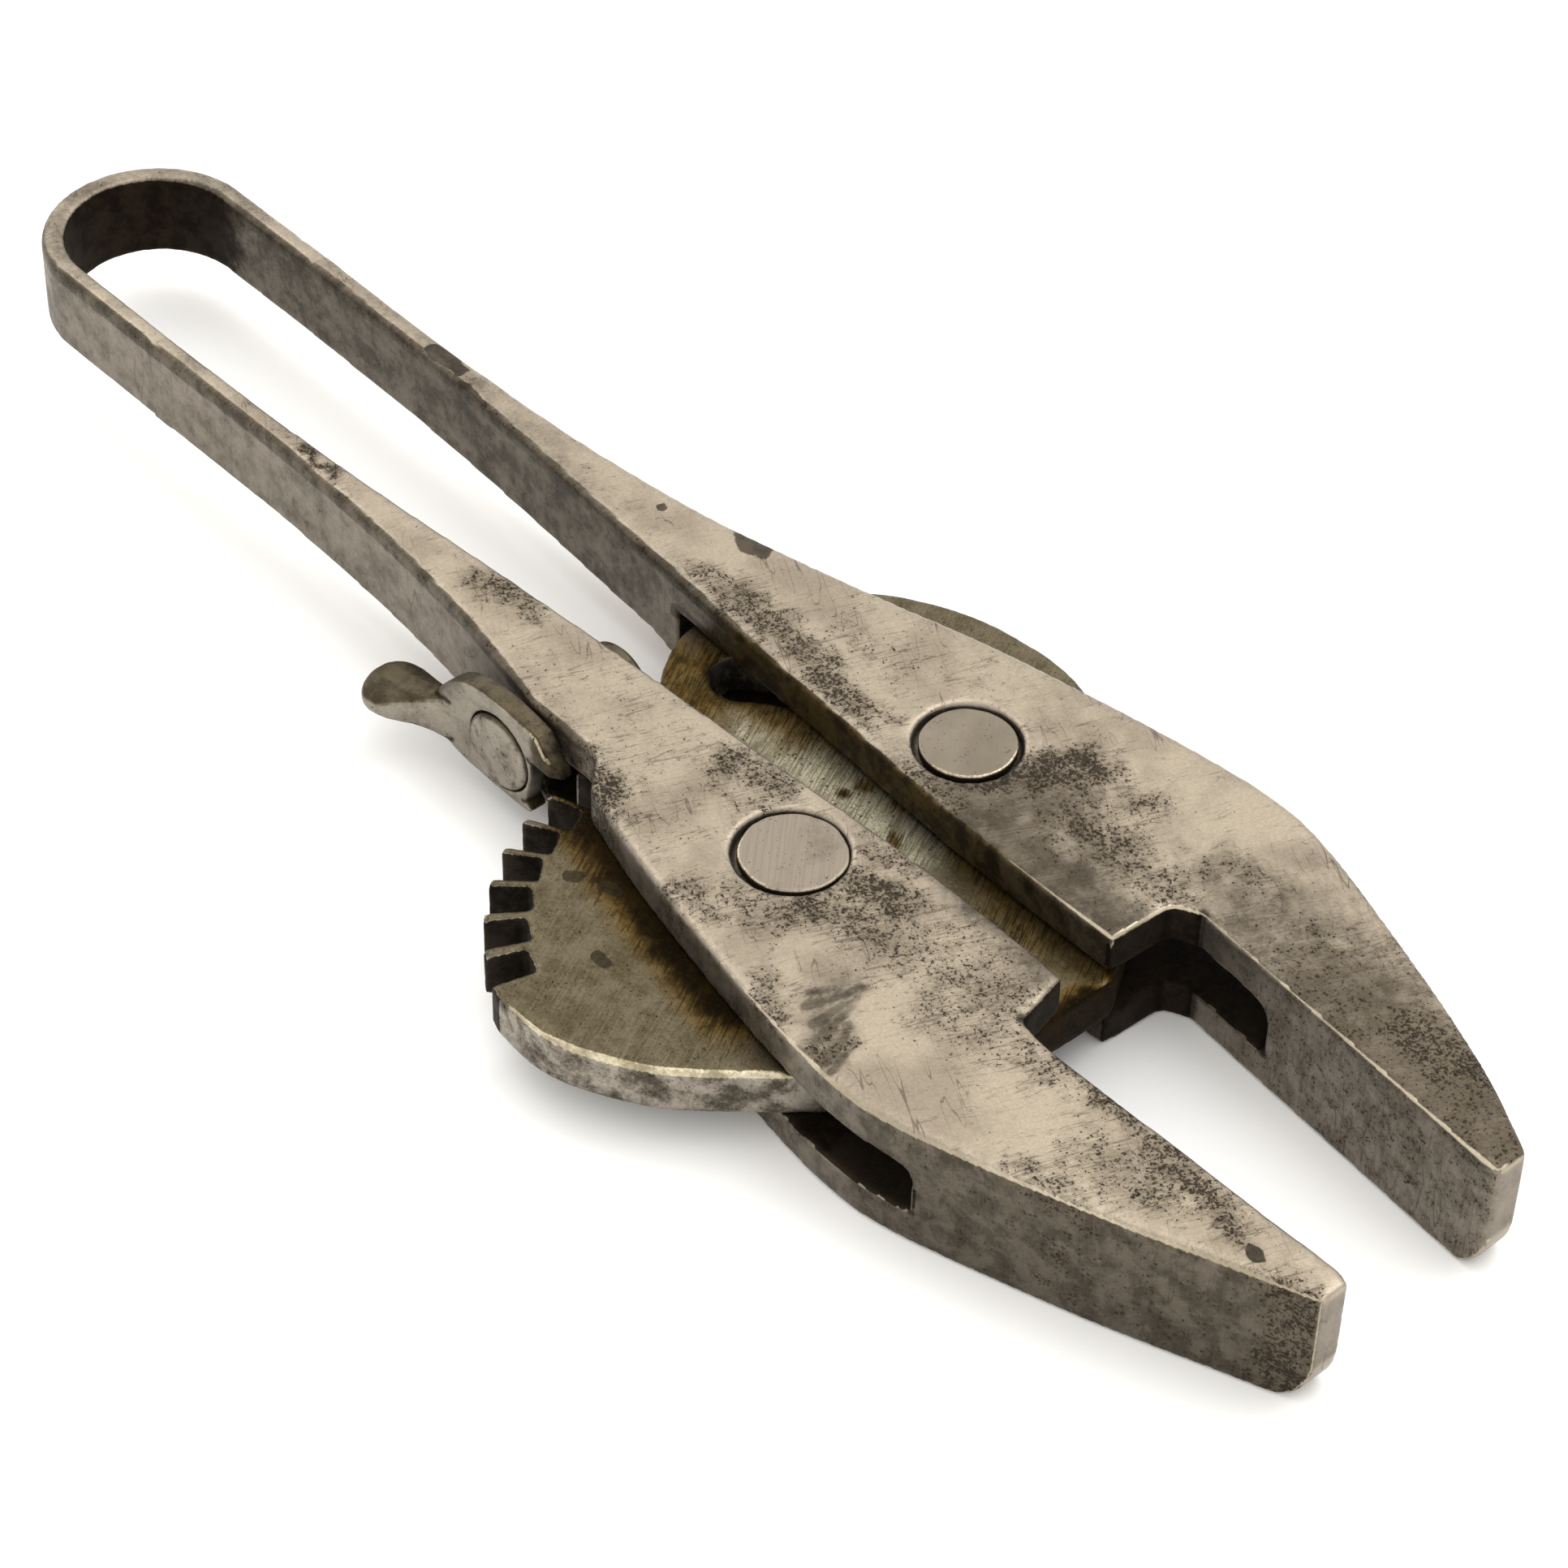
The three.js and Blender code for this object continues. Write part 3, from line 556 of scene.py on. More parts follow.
def wornPiece(nodeName, body, material, shape, traces, wear=handWear):
    def inJoint(edge):
        return all(abs(abs(v.co.x - jointX) - overlap) < rimSlack for v in edge.verts)

    outer = cornerPoints(shape, lambda edge: edge.is_convex and not inJoint(edge))
    ridges = cornerPoints(shape, lambda edge: isRidge(edge) and not inJoint(edge))
    inner = cornerPoints(shape, lambda edge: not edge.is_convex)
    mesh = evenCopy(shape, wear["cell"])
    shape.free()
    points = ontoRidge(ridges, readVectors(mesh, "co"), wear["ridgeReach"] * wear["cell"])
    edgeGap, creaseGap = gaps(outer, points), gaps(inner, points)
    reach = wear["rounding"] * (1 + wear["uneven"] * softNoise(points, wear["unevenSize"]))
    rubbed = ramp(-edgeGap * mm, -reach, 0) * wear["rub"]
    pairs = np.empty(len(mesh.edges) * 2, int)
    mesh.edges.foreach_get("vertices", pairs)
    pairs = pairs.reshape(-1, 2)
    count = np.bincount(pairs.ravel(), minlength=len(points))[:, None]
    worn = points.copy()
    for _ in range(wear["passes"]):
        total = np.zeros_like(worn)
        np.add.at(total, pairs[:, 0], worn[pairs[:, 1]])
        np.add.at(total, pairs[:, 1], worn[pairs[:, 0]])
        worn += rubbed[:, None] * (total / count - worn)
    dent = np.clip(softNoise(points, wear["dentSize"], 3, noisePlace["dents"]) - wear["dentsOver"], 0, 1)
    dent = dent * ramp(-edgeGap, -wear["dentReach"], 0)
    wave = ramp(softNoise(points, wear["waveSize"], 2, noisePlace["waves"]), -1, 1)
    inward = wear["waviness"] * wave + wear["dents"] * dent
    worn -= readVectors(mesh, "normal") * inward[:, None]
    worn = np.clip(worn, points.min(0), points.max(0))
    mesh.vertices.foreach_set("co", worn.ravel())
    found = {"edgeGap": gaps(ridges, points), "creaseGap": np.minimum(creaseGap, 50)}
    found.update(traces(points, readVectors(mesh, "normal"), found))
    for name, values in found.items():
        mesh.attributes.new(name, "FLOAT", "POINT").data.foreach_set("value", np.asarray(values, np.float32))
    cutJoint(mesh)
    mesh.update()
    mesh.materials.clear()
    mesh.materials.append(material)
    piece = newObject(nodeName + "Worn", mesh)
    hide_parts(nodeName)
    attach(piece, body)
    print(nodeName, "worn,", len(mesh.polygons), "faces")


# Spring frame: the bow and the two arms

frameShape = {        # mm
    "slot": (3.6, 8.6),           # heights of its floor and ceiling
    "slotSlack": 0.2,             # how far from them a worn face may lie
    "slotInset": 0.1,             # how far within them its end wall begins
    "slotEnd": 2.7,               # how near the crease at its end the wall is dirty and painted in shade
    "notchBack": (47, 56),        # x of the walls that face out of the notch, then their y and height
    "notchSides": (-6, 16.2),
    "notchTop": 12.4,
    "notchFacing": 0.25,          # least x of their normals
    "topCorner": (10.5, 12),      # heights over which the corners of the top begin
    "tipCorner": (83, 85),        # x over which those of the tip begin
    "tip": 84,
    "tipFacing": (0.7, 0.95),     # x of the normals over which its face begins
    "middle": 5.15,               # y midway between the arms
    # the bend's inner face and the arms' inner flanks darken with painted shade
    "bendShade": (69, 81),        # -x over which the bend's inner face darkens
    "innerFilmAndShade": (5, 15),         # and over which the arms' inner flanks do
}
frameFinish = {        # strengths, where most strokes have one of about 1
    "ragged": {"soilAndShade": 1.3, "filmAndShading": 1.0, "smear": 0.25, "spot": 0.8},        # shake of outlines, mm
    "innerFilmAndShade": 0.7,             # film and painted shade on the flanks that face each other
    "outerFilm": 0.45,            # on the bend's outer face
    "wallRustAndShade": 1.2,              # rust and painted shade on the far arm's inner flank, and what it loses towards the front
    "wallLoss": 0.5,
    "flankFoot": 1.15,            # share of the flank's painted shade at its foot, and what is lost up to its top
    "flankLoss": 0.35,
    "flankHeights": (4, 12),
    # the flank's painted shade also adds to the soil by this share
    "flankShadeInSoil": 0.3,
    "tipLoss": 1.5,               # soil that is gone from the tip's face
    "tipDressed": 0.7,
}
nearArm = {
    "soilAndShade": [(-42, -3.4, -37, -3.8, 0.5, 1.2), (-18, -2.5, -12, -1.8, 1.3, 0.9),
             (-3.5, -10.8, -1, -10.3, 1.0, 0.9), (3, -11, 8, -13, 0.9, 0.8),
             (8, -12.6, 10, -13.2, 2.2, 1.2), (0, -6, 14, -8, 4.5, 0.35), (14, -1.5, 18, -0.5, 1.8, 0.9),
             (16, -4.5, 20, -3, 1.2, 0.7), (31, -3.5, 35, -2.5, 2.0, 1.05), (29, 0.2, 33, 0.8, 1.2, 0.8),
             (31, -8, 34, -6.5, 1.8, 1.0), (6, -11, 9, -13, 1.6, 1.1), (26, -11.5, 30, -10.5, 1.8, 0.8),
             (22.5, -14.8, 26, -14.8, 1.2, 0.9),
             (36, -6, 48, -2.5, 3.2, 0.75), (46, -7, 56, -5.5, 2.6, 0.7), (56, -3.8, 78, -6.6, 1.2, 1.0),
             (66, -9.6, 71, -8.2, 2.2, 0.75), (43, -17.5, 44, -16.2, 1.0, 0.9),
             (84, -8.6, 86.5, -7.6, 1.2, 1.0), (62, -14.8, 68, -13.6, 0.8, 0.8),
             (34, -16.5, 38, -18, 1.3, 0.8)],
    "filmAndShading": path([(-62, -3.6, 0.35), (-40, -4.4, 0.2), (-22, -6, 0.1)], 1.6)
            + path([(-36, -7.5, 0.4), (-24, -8.6, 0.75), (-10, -10.6, 0.7), (2, -12, 0.5)], 0.9)
            + path([(38.6, -12.4, 0.4), (42, -16.6, 0.8), (43.4, -18.6, 0.7)], 1.5)
            + path([(26, 3.4, 0.3), (38, 2.6, 0.7), (49, 1.4, 0.8)], 1.3),
    "smear": [(38.9, -15.8, 40.4, -11.1, 0.32, 1.5, 0.9), (40.7, -16.8, 40.9, -12.0, 0.32, 1.6, 0.8),
              (42.2, -17.6, 41.4, -13.2, 0.32, 1.7, 0.8), (44.2, -18.7, 42.6, -14.6, 0.34, 1.7, 0.9),
              (45.4, -19.1, 44.2, -15.6, 0.3, 1.3, 0.7), (38.0, -14.6, 39.2, -12.4, 0.3, 1.1, 0.6)],
    "spot": [(80.2, -7.2, 80.9, -7.4, 0.6, 0.9)],
    "polishAndHighlight": path([(22, -15, 0.0), (30, -18, 0.6), (39, -19.3, 0.8), (47, -19.9, 1.0), (53, -19.2, 0.8),
                    (61, -16.8, 0.9), (71, -13.4, 0.8), (80, -9.8, 0.8), (87, -7, 0.7)]),
    "flank": (28, 72, 1.6),        # the side darkens with painted shade from the first x to the second, up to a share
    "patchiness": 0.45,            # how much that varies
    "patchSize": 8 * mm,
}
farArm = {
    "soilAndShade": [(-6, 12.9, -1, 12.6, 1.1, 0.8), (-1, 12.4, 7, 12.8, 1.5, 1.0), (10, 12, 17, 11, 1.6, 1.0),
             (8, 16.5, 13, 17.5, 2.0, 0.5), (24, 9.6, 30, 8.6, 1.2, 0.8), (29, 13.5, 34, 20.5, 1.9, 1.25),
             (38, 15, 41, 16, 2.4, 0.95), (45, 15, 49, 15.5, 1.8, 0.8), (39.5, 21, 41, 22, 1.2, 0.8),
             (50, 21, 53, 22, 1.4, 0.7), (62, 17, 86, 14.5, 3.5, 0.6), (73, 18.5, 78, 19.5, 2.4, 1.0),
             (60, 20, 66, 23, 2.4, 0.6), (18, 22, 26, 24, 2.6, 0.3)],
    "filmAndShading": path([(22, 10.5, 0.3), (30, 9.6, 0.9), (38, 9.5, 1.2), (49, 9.6, 0.9)], 2.4)
            + path([(29, 12, 0.9), (34, 15, 1.0), (40, 13, 0.7), (46, 13, 0.4)], 2.6)
            + path([(54, 19, 0.6), (66, 17, 1.0), (86, 14.5, 1.15)], 4.6)
            + path([(-62, 14.2, 0.3), (-40, 13.4, 0.5), (-18, 12.4, 0.35)], 1.6),
    "smear": [(31.4, 13.3, 31.9, 20.4, 0.32, 1.2, 0.9), (32.4, 11.0, 33.4, 18.5, 0.32, 1.6, 0.9),
              (33.6, 8.9, 33.8, 15.4, 0.34, 1.7, 1.0), (32.2, 8.2, 32.8, 12.8, 0.3, 1.4, 0.8),
              (35.2, 9.4, 35.9, 15.0, 0.3, 1.4, 0.8), (37.1, 8.9, 37.8, 15.7, 0.34, 1.3, 0.7)],
    "spot": [(-45.6, 14.4, -42.0, 14.3, 0.7, 1.0), (-39.6, 13.0, -37.0, 12.7, 0.5, 1.0),
             (-7.3, 18.7, -5.0, 18.2, 0.8, 0.95), (-15.2, 15.7, -14.9, 15.7, 0.4, 0.9)],
    "polishAndHighlight": path([(28, 8.6, 0.0), (38, 8.2, 0.6), (49.6, 8.0, 1.0), (50, 14.7, 0.9), (52.4, 15.7, 0.7),
                    (60, 15, 0.7), (74, 13.8, 0.8), (85.5, 12.9, 1.0), (87, 13.4, 0.8)]),
    # the brown on the flank towards the near arm is rust and painted shade
    "innerWall": (-8, 6),        # the flank towards the near arm turns brown over this x,
    "wallPales": (24, 44),       # grows paler over this one and ends over the next, in mm
    "wallEnds": (50, 53),
    "wallBack": 12,              # and lies at a lower y than this
}
strapGrime = {           # along the top corner of the faces that look towards the near side
    "width": 1.35,
    "strength": 2.1,
    "above": 8,           # mm
    "nearFacing": (0.05, 0.5),        # -y of the normals over which these faces begin
    "from": (-100, -62),  # it grows over this x, and dies away over the next, in mm
    "to": (-2, 8),
    "onTop": 0.5,         # strength of the film on top of the bend, and the -x over which it begins
    "bendFrom": (64, 78),
}


def strapFilm(points, normals, found):
    x, _, z = points.T / mm
    width, start, end = strapGrime["width"], strapGrime["from"], strapGrime["to"]
    nearSide = ramp(-normals[:, 1], *strapGrime["nearFacing"]) * (z > strapGrime["above"])
    line = nearSide * ramp(-found["edgeGap"], -width, -0.5 * width)
    line = strapGrime["strength"] * line * ramp(x, *start) * ramp(-x, -end[1], -end[0])
    return np.maximum(line, strapGrime["onTop"] * ramp(-x, *strapGrime["bendFrom"]) * facingUp(normals))


def armTraces(look):
    shape, finish, ragged = frameShape, frameFinish, frameFinish["ragged"]

    def traces(points, normals, found):
        x, y, z = points.T / mm
        onTop = facingUp(normals)
        topEdge = np.maximum(ramp(z, *shape["topCorner"]), ramp(x, *shape["tipCorner"]))
        (low, high), slack, inset = shape["slot"], shape["slotSlack"], shape["slotInset"]
        floor = (normals[:, 2] > squarely) & (np.abs(z - low) < slack)
        ceiling = (normals[:, 2] < -squarely) & (np.abs(z - high) < slack)
        endOfSlot = (found["creaseGap"] < shape["slotEnd"]) & (z > low + inset) & (z < high - inset)
        endOfSlot = endOfSlot & (np.abs(normals[:, 1]) < squarely)
        (back, front), (right, left) = shape["notchBack"], shape["notchSides"]
        inNotch = (normals[:, 0] > shape["notchFacing"]) & (x > back) & (x < front)
        inNotch = inNotch & (y > right) & (y < left) & (z < shape["notchTop"])
        # slot faces, the notch's walls and the bend's inner flanks: dirt and painted shade
        grimeAndShade = np.where(floor | ceiling | endOfSlot | inNotch, 1.0, 0.0)
        inner = ramp(normals[:, 1] * np.sign(shape["middle"] - y), *turning)
        grimeAndShade = np.maximum(grimeAndShade, inner * ramp(-x, *shape["bendShade"]))
        tipFace = (x > shape["tip"]) * ramp(normals[:, 0], *shape["tipFacing"])
        filmAndShading = marks(points, look["filmAndShading"], ragged["filmAndShading"]) * onTop
        # the arms' inner flanks, which face each other, darken with film and painted shade
        filmAndShading = np.maximum(filmAndShading, finish["innerFilmAndShade"] * inner * ramp(-x, *shape["innerFilmAndShade"]))
        rustAndShadow, flank = np.zeros(len(points)), np.zeros(len(points))
        # the far arm's inner flank: rust brown, partly painted shade
        if "innerWall" in look:
            start, end = look["wallEnds"]
            wall = ramp(-normals[:, 1], *turning) * (y < look["wallBack"])
            wall = wall * ramp(x, *look["innerWall"]) * ramp(-x, -end, -start)
            rustAndShadow = wall * (finish["wallRustAndShade"] - finish["wallLoss"] * ramp(x, *look["wallPales"]))
        # the near arm's outer flank darkens towards its jaw: painted shade, carried by the film and soil
        # traces
        if "flank" in look:
            start, end, most = look["flank"]
            flank = ramp(x, start, end) * (1 - onTop) * (normals[:, 0] < turning[1])
            patches = softNoise(points, look["patchSize"], 3, noisePlace["patches"])
            share = finish["flankFoot"] - finish["flankLoss"] * ramp(z, *finish["flankHeights"])
            filmAndShading = np.maximum(filmAndShading, most * share * (1 + look["patchiness"] * patches) * flank)
        filmAndShading = np.maximum(filmAndShading, marks(points, look["smear"], ragged["smear"]) * onTop)
        filmAndShading = np.maximum(filmAndShading, strapFilm(points, normals, found)) * (1 - tipFace)
        soilAndShade = np.maximum(marks(points, look["soilAndShade"], ragged["soilAndShade"]), finish["flankShadeInSoil"] * flank)
        return {"soilAndShade": soilAndShade - finish["tipLoss"] * tipFace,
                "spot": marks(points, look["spot"], ragged["spot"]) * onTop,
                "dressed": finish["tipDressed"] * tipFace,
                "polishAndHighlight": marks(points, look["polishAndHighlight"]) * topEdge,
                "filmAndShading": filmAndShading, "rustAndShadow": rustAndShadow, "grimeAndShade": grimeAndShade}
    return traces


for nodeName, look in (("near_arm", nearArm), ("far_arm", farArm)):
    wornPiece(nodeName, nodeName, forgedSteel, pastJoint(joinedMesh(nodeName)), armTraces(look))

bow = {        # mm
    "centre": (-76.7, 5.15),        # of the bend
    "middle": 9.3,                  # radius of the strap's middle
    "outerFilm": (66, 80),          # -x over which the bend's outer face darkens
}


def bowTraces(points, normals, found):
    x, y = points[:, 0] / mm, points[:, 1] / mm
    radius = np.hypot(np.minimum(x - bow["centre"][0], 0), y - bow["centre"][1])
    # the bend's inner face darkens with film and painted shade
    inner = (radius < bow["middle"]) * facingAside(normals)
    outer = frameFinish["outerFilm"] * ramp(-x, *bow["outerFilm"]) * facingAside(normals)
    filmAndShading = np.maximum(frameFinish["innerFilmAndShade"] * inner, outer)
    filmAndShading = np.maximum(filmAndShading, strapFilm(points, normals, found))
    # further round the bend its inner face also takes dirt and painted shade
    return {"grimeAndShade": inner * ramp(-x, *frameShape["bendShade"]), "filmAndShading": filmAndShading}


wornPiece("bow_spring", "bow_spring", forgedSteel, pastJoint(joinedMesh("bow_spring")), bowTraces)

camPlate = {        # mm
    "pivot": (24.9, -4.95),
    "teeth": (189, 257),        # directions between which the rim is toothed, degrees
    "rimAtFirst": 22.8,         # rim radius there, and its growth per degree
    "rimGrowth": 0.072,
    "crest": 0.35,              # depth to which the teeth stay clean
    "gapFloor": 18,             # radius under which there are no gaps between them
    "trackRadius": 22,          # and within which the spiral slot lies
    "sideFacing": 0.6,          # a normal with less than this upwards is a side's
    "armEdge": -8,              # y beyond which the near arm's outer edge lies
    "rustReach": 5.0,           # how far rust, with painted shadow at the edge, has crept out from under it
    "rustMost": 2.0,            # how strong it is where it comes out
    "rustEnds": (31, 39),       # x over which that dies away
    # between the arms: rust, with a painted shadow along the foot of the far arm's flank, and the grey that
    # is left, painted paler where shade falls
    "laneRustAndShadow": [(-4, 6, 3, 4.6, 2.2, 1.15), (0, 8, 11, 8.8, 2.2, 1.2), (6, 6.5, 9, 6.8, 0.8, 0.7),
                 (23, 8.6, 24, 8.4, 0.5, 1.1), (26, 5.6, 27, 5.4, 0.4, 1.0), (9, 9.8, 22, 10.4, 0.8, 1.2),
                 (22, 10.4, 48, 10.8, 0.7, 1.3), (19.5, 8.2, 20.2, 8.1, 0.5, 1.2),
                 (19.4, 6.0, 19.7, 5.9, 0.35, 1.2), (14.5, 9.0, 15.3, 9.2, 0.5, 1.2),
                 (30.5, 7.9, 31.2, 7.8, 0.8, 0.75), (32.5, 8.2, 34.5, 8.0, 0.6, 0.95),
                 (36, 7.8, 38, 7.6, 0.7, 1.1), (38.5, 7.6, 48, 8.2, 2.4, 0.85),
                 (49.7, 5.2, 50.3, -1, 0.9, 1.9), (50.5, 10, 49.6, 8.4, 0.7, 1.7)],
    "laneGrey": [(9, 7.2, 28, 7.0, 2.4, 1.0)],
    "laneRagged": 0.6,          # shake of these outlines, and of the spots'
    "spotRagged": 0.4,
    "laneEdges": (2.6, 12),     # y of the two arms' inner edges
    "laneFront": 48,            # x past which the near arm no longer lies beside the lane
    "front": 46,                # x past which its end face is brown, and how much
    "frontRust": 1.9,
    "spot": [(12.0, -17.9, 12.4, -17.6, 0.5, 0.9), (15.1, -16.4, 15.5, -16.3, 0.45, 1.2),
             (20.6, -22.2, 21.2, -22.3, 0.45, 0.95)],
    "topCorner": (7.4, 8.2),    # heights over which the corners of the top begin
    "polishAndHighlight": path([(12.6, -29.3, 0.0), (18.8, -31.3, 0.6), (23.5, -31.4, 1.0), (27.6, -30.3, 1.4),
                    (32.6, -27.5, 1.4), (35.8, -24.6, 1.5), (38.7, -21.4, 1.5), (42, -18, 1.3)], 1.2)
              + path([(49.9, 6.2, 0.8), (50.1, 3.2, 1.5), (50.4, 0.4, 1.2)], 0.4)
              + [(2.4, -22.5, 5.4, -20.4, 0.5, 0.9), (6.4, -27.6, 9.0, -24.6, 0.5, 1.0)],
}


def outerMouth():        # the near arm's lower outer edge, where the plate comes out from under it
    slotTop, limit = frameShape["slot"][1] * mm, camPlate["armEdge"] * mm
    points = []
    shape = joinedMesh("near_arm")
    for edge in shape.edges:
        start, end = (v.co for v in edge.verts)
        level = max(abs(start.z - slotTop), abs(end.z - slotTop)) < planeSlack
        if level and start.y < limit and end.y < limit and edge.is_convex:
            points += [start.lerp(end, k / 8) for k in range(9)]
    shape.free()
    return treeOf(points)


def plateTraces(points, normals, found):
    x, y, z = points.T / mm
    flat = points[:, :2] / mm - np.array(camPlate["pivot"])
    toward = np.degrees(np.arctan2(flat[:, 1], flat[:, 0])) % 360
    radius = np.linalg.norm(flat, axis=1)
    first, last = camPlate["teeth"]
    rim = camPlate["rimAtFirst"] + camPlate["rimGrowth"] * (toward - first)
    onSide, onTop = np.abs(normals[:, 2]) < camPlate["sideFacing"], facingUp(normals)
    inGap = (toward > first) & (toward < last) & onSide
    inGap = inGap & (radius > camPlate["gapFloor"]) & (rim - radius > camPlate["crest"])
    inTrack = onSide & (y > 0) & (radius < camPlate["trackRadius"])
    start, end = camPlate["rustEnds"]
    # rust crept out from under the near arm, darkest at its edge, where it is also painted shadow
    creepAndShadow = camPlate["rustMost"] * (1 - gaps(outerMouth(), points) / camPlate["rustReach"])
    creepAndShadow = np.clip(creepAndShadow, 0, camPlate["rustMost"]) * ramp(-x, -end, -start) * (y < camPlate["armEdge"])
    right, left = camPlate["laneEdges"]
    lane = ((y > right) | (x > camPlate["laneFront"])) & (y < left)
    ragged = camPlate["laneRagged"]
    rustAndShadow = (creepAndShadow + marks(points, camPlate["laneRustAndShadow"], ragged) * lane) * onTop
    rustAndShadow = np.maximum(rustAndShadow, camPlate["frontRust"] * (x > camPlate["front"]) * (1 - onTop))
    # the grey lane between the arms, painted paler to offset the shade there
    return {"rustAndShadow": rustAndShadow, "filmAndShading": marks(points, camPlate["laneGrey"], ragged) * lane * onTop,
            "spot": marks(points, camPlate["spot"], camPlate["spotRagged"]) * onTop,
            "polishAndHighlight": marks(points, camPlate["polishAndHighlight"]) * ramp(z, *camPlate["topCorner"]),
            # the tooth gaps and the slot's walls: painted shade, with some dirt
            "grimeAndShade": np.where(inGap | inTrack, 1.0, 0.0)}


wornPiece("cam_plate", "cam_plate", plateSteel, joinedMesh("cam_plate"), plateTraces)

pawl = {
    # the top's brightness near the nose is wear and a painted highlight
    "brown": (0.80, 0.08),        # where along it, from the thumb tab to the nose, its outer side
    "bright": (0.72, 0.15),       # turns brown and its top bright, and over what share of its length
    "brightHeight": (9.5, 11),    # mm
    "outerFacing": (-0.2, 0.3),   # -y of the normals over which its outer side begins
    "rustAndShadow": 0.8,
    "polishAndHighlight": 0.5,
    "wear": dict(handWear, cell=0.14 * mm, rounding=0.4 * mm, dents=0.05 * mm),
}
pawlPin = {
    "rustAndShadow": 0.65,
    "rustSize": 1.3 * mm,
    "rustFrom": (-0.6, 0.9),      # values of the noise over which it grows
    "wear": dict(handWear, cell=0.14 * mm, rounding=0.3 * mm, dents=0.05 * mm),
}


def pawlTraces(points, normals, found):
    low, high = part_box("pawl")
    share = (points[:, 0] - low[0]) / (high[0] - low[0])
    start, over = pawl["brown"]
    brown = ramp(share, start, start + over) * ramp(-normals[:, 1], *pawl["outerFacing"])
    start, over = pawl["bright"]
    bright = ramp(share, start, start + over) * ramp(points[:, 2] / mm, *pawl["brightHeight"])
    return {"rustAndShadow": pawl["rustAndShadow"] * brown, "polishAndHighlight": pawl["polishAndHighlight"] * bright}


def pinTraces(points, normals, found):
    return {"rustAndShadow": pawlPin["rustAndShadow"] * ramp(softNoise(points, pawlPin["rustSize"]), *pawlPin["rustFrom"])}


wornPiece("pawl", "pawl", pawlSteel, joinedMesh("pawl"), pawlTraces, pawl["wear"])
wornPiece("pawl_pin", "near_arm", pawlSteel, joinedMesh("pawl_pin"), pinTraces, pawlPin["wear"])

rivets = {        # mm; each was set by hand, so its head is a little off centre and out of round
    "cam_pivot_rivet": {
        "body": "near_arm", "headRadius": 4.68, "shankRadius": 3.0, "shift": (0.14, 0.20), "wobble": 0.6,
        "filmAndShading": 0.0, "bright": (-150, -70),        # directions between which its corner is bright, a painted highlight
    },
    "follower_rivet": {
        "body": "far_arm", "headRadius": 4.30, "shankRadius": 2.7, "shift": (0.0, 0.05), "wobble": 0.3,
        "filmAndShading": 0.7, "bright": (-80, 25),
    },
}
rivetMake = {        # mm
    "headHeight": 0.9,
    "brink": 0.12,        # the worn corner of a head
    "rings": 100,         # of points along it, and how many are in each
    "points": 72,
    "noise": {"Scale": 1.6, "Detail": 3.0},
    "firstSeed": 3,
    "weldGap": 0.001,
    "brightDepth": 0.4,   # how far down from its top the painted highlight on a head reaches
    "brightSteps": 12,
    "brightRadius": 0.6,
    "wear": dict(handWear, cell=0.12 * mm, rounding=0.18 * mm, dents=0.03 * mm),
}


